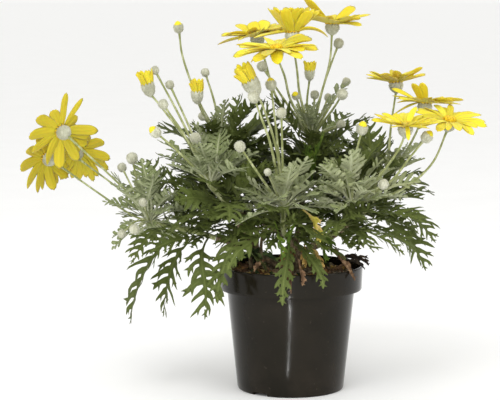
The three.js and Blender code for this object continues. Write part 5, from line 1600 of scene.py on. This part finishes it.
# Leaves that fade at the foot of the plant: look, root, tip, sag and roll in degrees, lobes, fold
FADING = [
    ("brown", [0, -46, 125], [-1, -65, 91], 60, 10, 4, 62),
    ("brown", [3, -52, 119], [7, -65, 97], 50, -20, 3, 66),
    ("rust", [0, -40, 124], [-9, -56, 111], 50, 30, 3, 34),
    ("rust", [4, -40, 122], [-3, -53, 109], 60, -20, 3, 40),
    ("straw", [10, -42, 127], [24, -54, 108], 50, 0, 3, 28),
    ("straw", [10, -42, 127], [11, -55, 110], 40, 20, 3, 44),
    ("brown", [22, -20, 124], [50, -39, 97], 46, 20, 4, 64),
    ("brown", [30, -22, 120], [44, -30, 106], 30, -40, 3, 60),
    ("dark", [42, -12, 111], [63, -20, 106], 60, 10, 3, 60),
    ("dark", [44, -20, 109], [60, -26, 104], 60, -30, 3, 50),
    ("dark", [38, -6, 108], [58, -10, 109], 50, 40, 3, 55),
    ("brown", [-18, -30, 112], [-30, -48, 105], 50, 30, 4, 58),
    ("yellow", [8, -54, 156], [19, -63, 130], 80, 30, 3, 34),
    ("moss", [-46, -20, 107], [-24, -30, 121], 20, 60, 3, 66),
    ("moss", [-52, -22, 106], [-30, -26, 114], 30, 40, 3, 66),
    ("moss", [-20, -34, 108], [-40, -26, 122], 20, -50, 3, 68),
    ("moss", [-8, -32, 108], [-24, -34, 117], 30, 30, 3, 66),
    ("bright", [-15, -68, 149], [-9, -84, 120], 50, -20, 3, 14),
    ("fresh", [4, -60, 150], [-3, -74, 128], 50, 20, 3, 26),
    ("fresh", [14, -34, 140], [27, -44, 112], 56, 10, 3, 24),
    ("fresh", [20, -32, 138], [33, -40, 118], 50, -20, 3, 30),
    ("fresh", [17, -24, 176], [27, -27, 215], 24, 10, 4, 24),
    ("fresh", [16, -22, 176], [12, -30, 206], 24, 10, 4, 24),
]
# Each kind of fading: its dark and light colours, and how many scraps of it are strewn on the compost
FADES = table(
    "dark light scraps",
    ("brown", (0.15, 0.085, 0.045), (0.42, 0.27, 0.15), 34),
    ("rust", (0.18, 0.085, 0.03), (0.45, 0.26, 0.1), 14),
    ("straw", (0.4, 0.26, 0.07), (0.68, 0.5, 0.2), 24),
    ("dark", (0.016, 0.012, 0.008), (0.06, 0.042, 0.026), 0),
    ("yellow", (0.46, 0.4, 0.06), (0.6, 0.4, 0.22), 0),
    ("moss", (0.03, 0.05, 0.016), (0.12, 0.16, 0.05), 22),
    ("fresh", (0.07, 0.12, 0.012), (0.16, 0.22, 0.03), 0),
    ("bright", (0.08, 0.13, 0.014), (0.2, 0.27, 0.04), 0),
)


def add_scrap(build, random):
    """A scrap of dead leaf at a random place on the compost, if it lies wholly inside the pot."""
    turn, far, heading = 6.28 * random(), 20 + 30 * random(), 6.28 * random()
    x, y = far * math.cos(turn), far * math.sin(turn)
    root = vec([x, y, float(soil_height(x, y)) + 1.5])
    reach = 6 + 5 * random()
    tip = vec([x + reach * math.cos(heading), y + reach * math.sin(heading), root[2] + 1 + 4 * random()])
    if math.hypot(tip[0], tip[1]) < 52:
        arc = Arc(root, tip, 60, 1.5 * (random() - 0.5))
        add_leaf(build, arc, GREEN_LEAF, 2, False, random, 0.5, 60, 0.9)


def make_litter(settings):
    """Dead leaves on the compost, and those that still hang over the rim."""
    look = withered_look("leaf_withered", settings.withered_dark, settings.withered_light)
    for i, (at, turn, length) in enumerate(DEAD_LEAVES):
        name = f"dead_leaf_{i + 1}"
        half, middle = outward(math.radians(turn)) * length / 2, vec([*at, 100])
        build = Build()
        add_leaf(build, Arc(middle - half, middle + half, 40, 0.2), GREEN_LEAF, 3, False, seeded(60 + i), 0.5)
        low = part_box(name)[0][2] / MM
        points = build.points[0]
        points[:, 2] += low + 0.1 - points[:, 2].min()
        dressed(build.piece(f"withered_{i + 1}", look, 60), "dead leaves", name)
    random = seeded(SEEDS["fan"] + 91)
    for kind, fade in FADES.items():
        build = Build()
        for _ in range(fade["scraps"]):
            add_scrap(build, random)
        for i, (which, root, tip, sag, roll, lobes, fold) in enumerate(FADING):
            if which == kind:
                arc = Arc(vec(root), vec(tip), sag, math.radians(roll))
                broad, slim = kind == "bright", 0.55 if kind == "brown" else 1
                form = YOUNG_LEAF if broad else GREEN_LEAF
                add_leaf(build, arc, form, lobes, broad, seeded(70 + i), 0.5, fold, slim)
        look = withered_look("fade_" + kind, fade["dark"], fade["light"])
        dressed(build.piece("faded_" + kind, look, 60), "dead leaves")


def make_stage(settings):
    """The floor, the camera and the lights."""
    reach = 60.0
    mesh = bpy.data.meshes.new("floor")
    corners = [(-reach, -reach, 0), (reach, -reach, 0), (reach, reach, 0), (-reach, reach, 0)]
    mesh.from_pydata(corners, [], [(0, 1, 2, 3)])
    mesh.materials.append(floor_look("floor_pale", settings))
    add_object("floor", mesh)
    camera = bpy.data.cameras.new("view")
    camera.lens, camera.sensor_width, camera.clip_start = 130.8, 36, 0.05
    eye = add_object("view", camera)
    eye.location = (-0.034, -1.5, 0.33)
    eye.rotation_euler = (math.pi / 2 - 0.1142, 0, 0)
    bpy.context.scene.camera = eye
    world = bpy.data.worlds.new("room")
    world.use_nodes = True
    sky = world.node_tree.nodes["Background"]
    sky.inputs[0].default_value = (*settings.sky, 1)
    sky.inputs[1].default_value = settings.sky_strength
    bpy.context.scene.world = world
    bpy.context.scene.view_settings.view_transform = "Standard"
    middle = Vector((0, 0, 0.12))
    for name, place, size, power, aim in (
        ("key", (-0.5, -1.3, 1.7), (1.0, 0.9), settings.key, None),
        ("front", (-0.1, -1.45, 0.45), (0.3, 0.2), settings.front, None),
        ("fill", (1.5, -0.8, 0.9), (1.2, 1.2), settings.fill, None),
        ("strip", (-0.0095, -0.215, 0.003), (0.0015, 0.25), settings.strip * 0.38, (0, 0.02, 1)),
        ("strip_far", (-0.0095, -0.28, 0.003), (0.0018, 0.12), settings.strip * 0.9, (0, 0.02, 1)),
    ):
        data = bpy.data.lights.new(name, "AREA")
        data.shape = "RECTANGLE"
        data.size, data.size_y = size
        data.energy = power
        lamp = add_object(name, data)
        lamp.location = place
        lamp.rotation_euler = Vector(aim or middle - Vector(place)).to_track_quat("-Z", "Y").to_euler()


def colour(name, description, default):
    return bpy.props.FloatVectorProperty(
        name=name, description=description, subtype="COLOR", size=3, min=0, max=1, default=default
    )


def amount(name, description, default, low, high, unit="NONE"):
    return bpy.props.FloatProperty(
        name=name, description=description, default=default, min=low, max=high, unit=unit
    )


def count(name, description, default, low, high):
    return bpy.props.IntProperty(name=name, description=description, default=default, min=low, max=high)


class PotSettings(bpy.types.PropertyGroup):
    plastic: colour("Plastic", "Colour of the pot", (0.0088, 0.0072, 0.0042))
    roughness: amount("Roughness", "Dullness of the plastic", 0.13, 0.05, 0.9)
    dust: amount("Dust", "How much dry earth clouds the plastic", 0.14, 0, 1)
    sides: count("Sides", "How many flats the pot's round is made of", 180, 48, 360)


class SoilSettings(bpy.types.PropertyGroup):
    dark: colour("Dark", "Colour of damp compost", (0.17, 0.13, 0.085))
    light: colour("Light", "Colour of dry compost", (0.64, 0.53, 0.37))
    crumbs: amount("Crumbs", "Crumbs for each square metre", 190000, 0, 900000)
    roots: count("Roots", "How many root fibres lie on top", 95, 0, 200)


class LeafSettings(bpy.types.PropertyGroup):
    green_dark: colour("Green, dark", "Old leaves", (0.028, 0.041, 0.009))
    green_light: colour("Green, light", "Newer leaves", (0.082, 0.112, 0.019))
    green_pale: colour("Green, pale", "Ribs and the newest leaves", (0.24, 0.28, 0.085))
    felt_dark: colour("Felt, dark", "Young leaves in their folds", (0.165, 0.19, 0.066))
    felt_light: colour("Felt, light", "Young leaves", (0.275, 0.315, 0.088))
    felt_tip: colour("Felt, tip", "Young leaves towards the tip", (0.125, 0.17, 0.04))
    felt_pale: colour("Felt, pale", "Ribs of young leaves", (0.56, 0.58, 0.39))
    stalk_dark: colour("Stalk, dark", "Stalks", (0.23, 0.255, 0.095))
    stalk_light: colour("Stalk, light", "Felt on the stalks", (0.46, 0.48, 0.27))
    bud_dark: colour("Bud, dark", "Buds between their scales", (0.37, 0.37, 0.27))
    bud_light: colour("Bud, light", "Felt on the buds", (0.54, 0.54, 0.43))
    hair: colour("Hair", "Tips of the felt", (0.62, 0.62, 0.53))
    withered_dark: colour("Withered, dark", "Dead leaves", (0.17, 0.085, 0.035))
    withered_light: colour("Withered, light", "Dead leaves where dry", (0.46, 0.28, 0.12))
    lobes: count("Lobes", "Lobes on each side of a green leaf", 5, 3, 10)
    hairs: amount("Hairs", "Hairs for each square metre of bud", 1.1e6, 0, 5e6)


class FlowerSettings(bpy.types.PropertyGroup):
    petal: colour("Petal", "Colour of the petals", (0.755, 0.645, 0.012))
    floret: colour("Floret", "Colour of the discs", (0.76, 0.49, 0.01))
    florets: count("Florets", "Florets on a disc", 120, 20, 300)


class StageSettings(bpy.types.PropertyGroup):
    floor: colour("Floor", "Colour of the floor", (0.96, 0.96, 0.955))
    sky: colour("Room", "Colour of the room's own light", (1.0, 0.997, 0.985))
    sky_strength: amount("Room light", "Strength of the room's own light", 0.97, 0, 5)
    key: amount("Key", "Main light", 15, 0, 500, "POWER")
    front: amount("Front", "Soft light from beside the camera", 5, 0, 500, "POWER")
    fill: amount("Fill", "Soft light from the right", 5, 0, 500, "POWER")
    strip: amount("Strip", "Narrow light for the pot's gloss", 0.22, 0, 500, "POWER")


class DAISY_OT_stage(bpy.types.Operator):
    """Lay the floor, hang the lights and set the camera"""

    bl_idname = "daisy.stage"
    bl_label = "Stage"

    def execute(self, context):
        make_stage(context.scene.daisy_stage)
        return {"FINISHED"}


class DAISY_OT_pot(bpy.types.Operator):
    """Turn the pot and cut its drain channels"""

    bl_idname = "daisy.pot"
    bl_label = "Pot"

    def execute(self, context):
        make_pot(context.scene.daisy_pot)
        return {"FINISHED"}


class DAISY_OT_compost(bpy.types.Operator):
    """Fill the pot with compost, crumbs, chips and root fibres"""

    bl_idname = "daisy.compost"
    bl_label = "Compost"

    def execute(self, context):
        make_compost(context.scene.daisy_soil)
        return {"FINISHED"}


class DAISY_OT_wood(bpy.types.Operator):
    """Sweep the woody stems along their paths"""

    bl_idname = "daisy.wood"
    bl_label = "Woody stems"

    def execute(self, context):
        make_wood()
        return {"FINISHED"}


class DAISY_OT_leaves(bpy.types.Operator):
    """Grow the green leaves and their stems"""

    bl_idname = "daisy.leaves"
    bl_label = "Green leaves"

    def execute(self, context):
        make_leaves(context.scene.daisy_leaf)
        return {"FINISHED"}


class DAISY_OT_crowns(bpy.types.Operator):
    """Grow the felted stalks, cups, buds and young leaves"""

    bl_idname = "daisy.crowns"
    bl_label = "Crowns"

    def execute(self, context):
        make_crowns(context.scene.daisy_leaf)
        return {"FINISHED"}


class DAISY_OT_flowers(bpy.types.Operator):
    """Open the flowers with their petals and discs"""

    bl_idname = "daisy.flowers"
    bl_label = "Flowers"

    def execute(self, context):
        make_flowers(context.scene.daisy_flower)
        return {"FINISHED"}


class DAISY_OT_opening(bpy.types.Operator):
    """Make the half-open flowers and the buds that show yellow"""

    bl_idname = "daisy.opening"
    bl_label = "Opening buds"

    def execute(self, context):
        make_opening(context.scene.daisy_flower)
        return {"FINISHED"}


class DAISY_OT_litter(bpy.types.Operator):
    """Lay the dead leaves on the compost and over the rim"""

    bl_idname = "daisy.litter"
    bl_label = "Dead leaves"

    def execute(self, context):
        make_litter(context.scene.daisy_leaf)
        return {"FINISHED"}


OPERATORS = [
    DAISY_OT_stage, DAISY_OT_pot, DAISY_OT_compost, DAISY_OT_wood, DAISY_OT_leaves, DAISY_OT_crowns,
    DAISY_OT_flowers, DAISY_OT_opening, DAISY_OT_litter,
]
SETTINGS = {
    "daisy_stage": StageSettings,
    "daisy_pot": PotSettings,
    "daisy_soil": SoilSettings,
    "daisy_leaf": LeafSettings,
    "daisy_flower": FlowerSettings,
}


class DAISY_PT_panel(bpy.types.Panel):
    bl_label = "Potted daisy"
    bl_idname = "DAISY_PT_panel"
    bl_space_type = "VIEW_3D"
    bl_region_type = "UI"
    bl_category = "Daisy"

    def draw(self, context):
        for operator in OPERATORS:
            self.layout.operator(operator.bl_idname)
        for key, group in SETTINGS.items():
            box = self.layout.box()
            box.label(text=group.__name__)
            for name in group.__annotations__:
                box.prop(getattr(context.scene, key), name)


CLASSES = [*SETTINGS.values(), *OPERATORS, DAISY_PT_panel]


def register():
    for kind in CLASSES:
        bpy.utils.register_class(kind)
    for key, group in SETTINGS.items():
        setattr(bpy.types.Scene, key, bpy.props.PointerProperty(type=group))


def unregister():
    for key in SETTINGS:
        delattr(bpy.types.Scene, key)
    for kind in reversed(CLASSES):
        bpy.utils.unregister_class(kind)


def main():
    register()
    for operator in OPERATORS:
        getattr(bpy.ops.daisy, operator.bl_idname.split(".")[1])()
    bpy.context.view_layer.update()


if __name__ == "__main__":
    main()
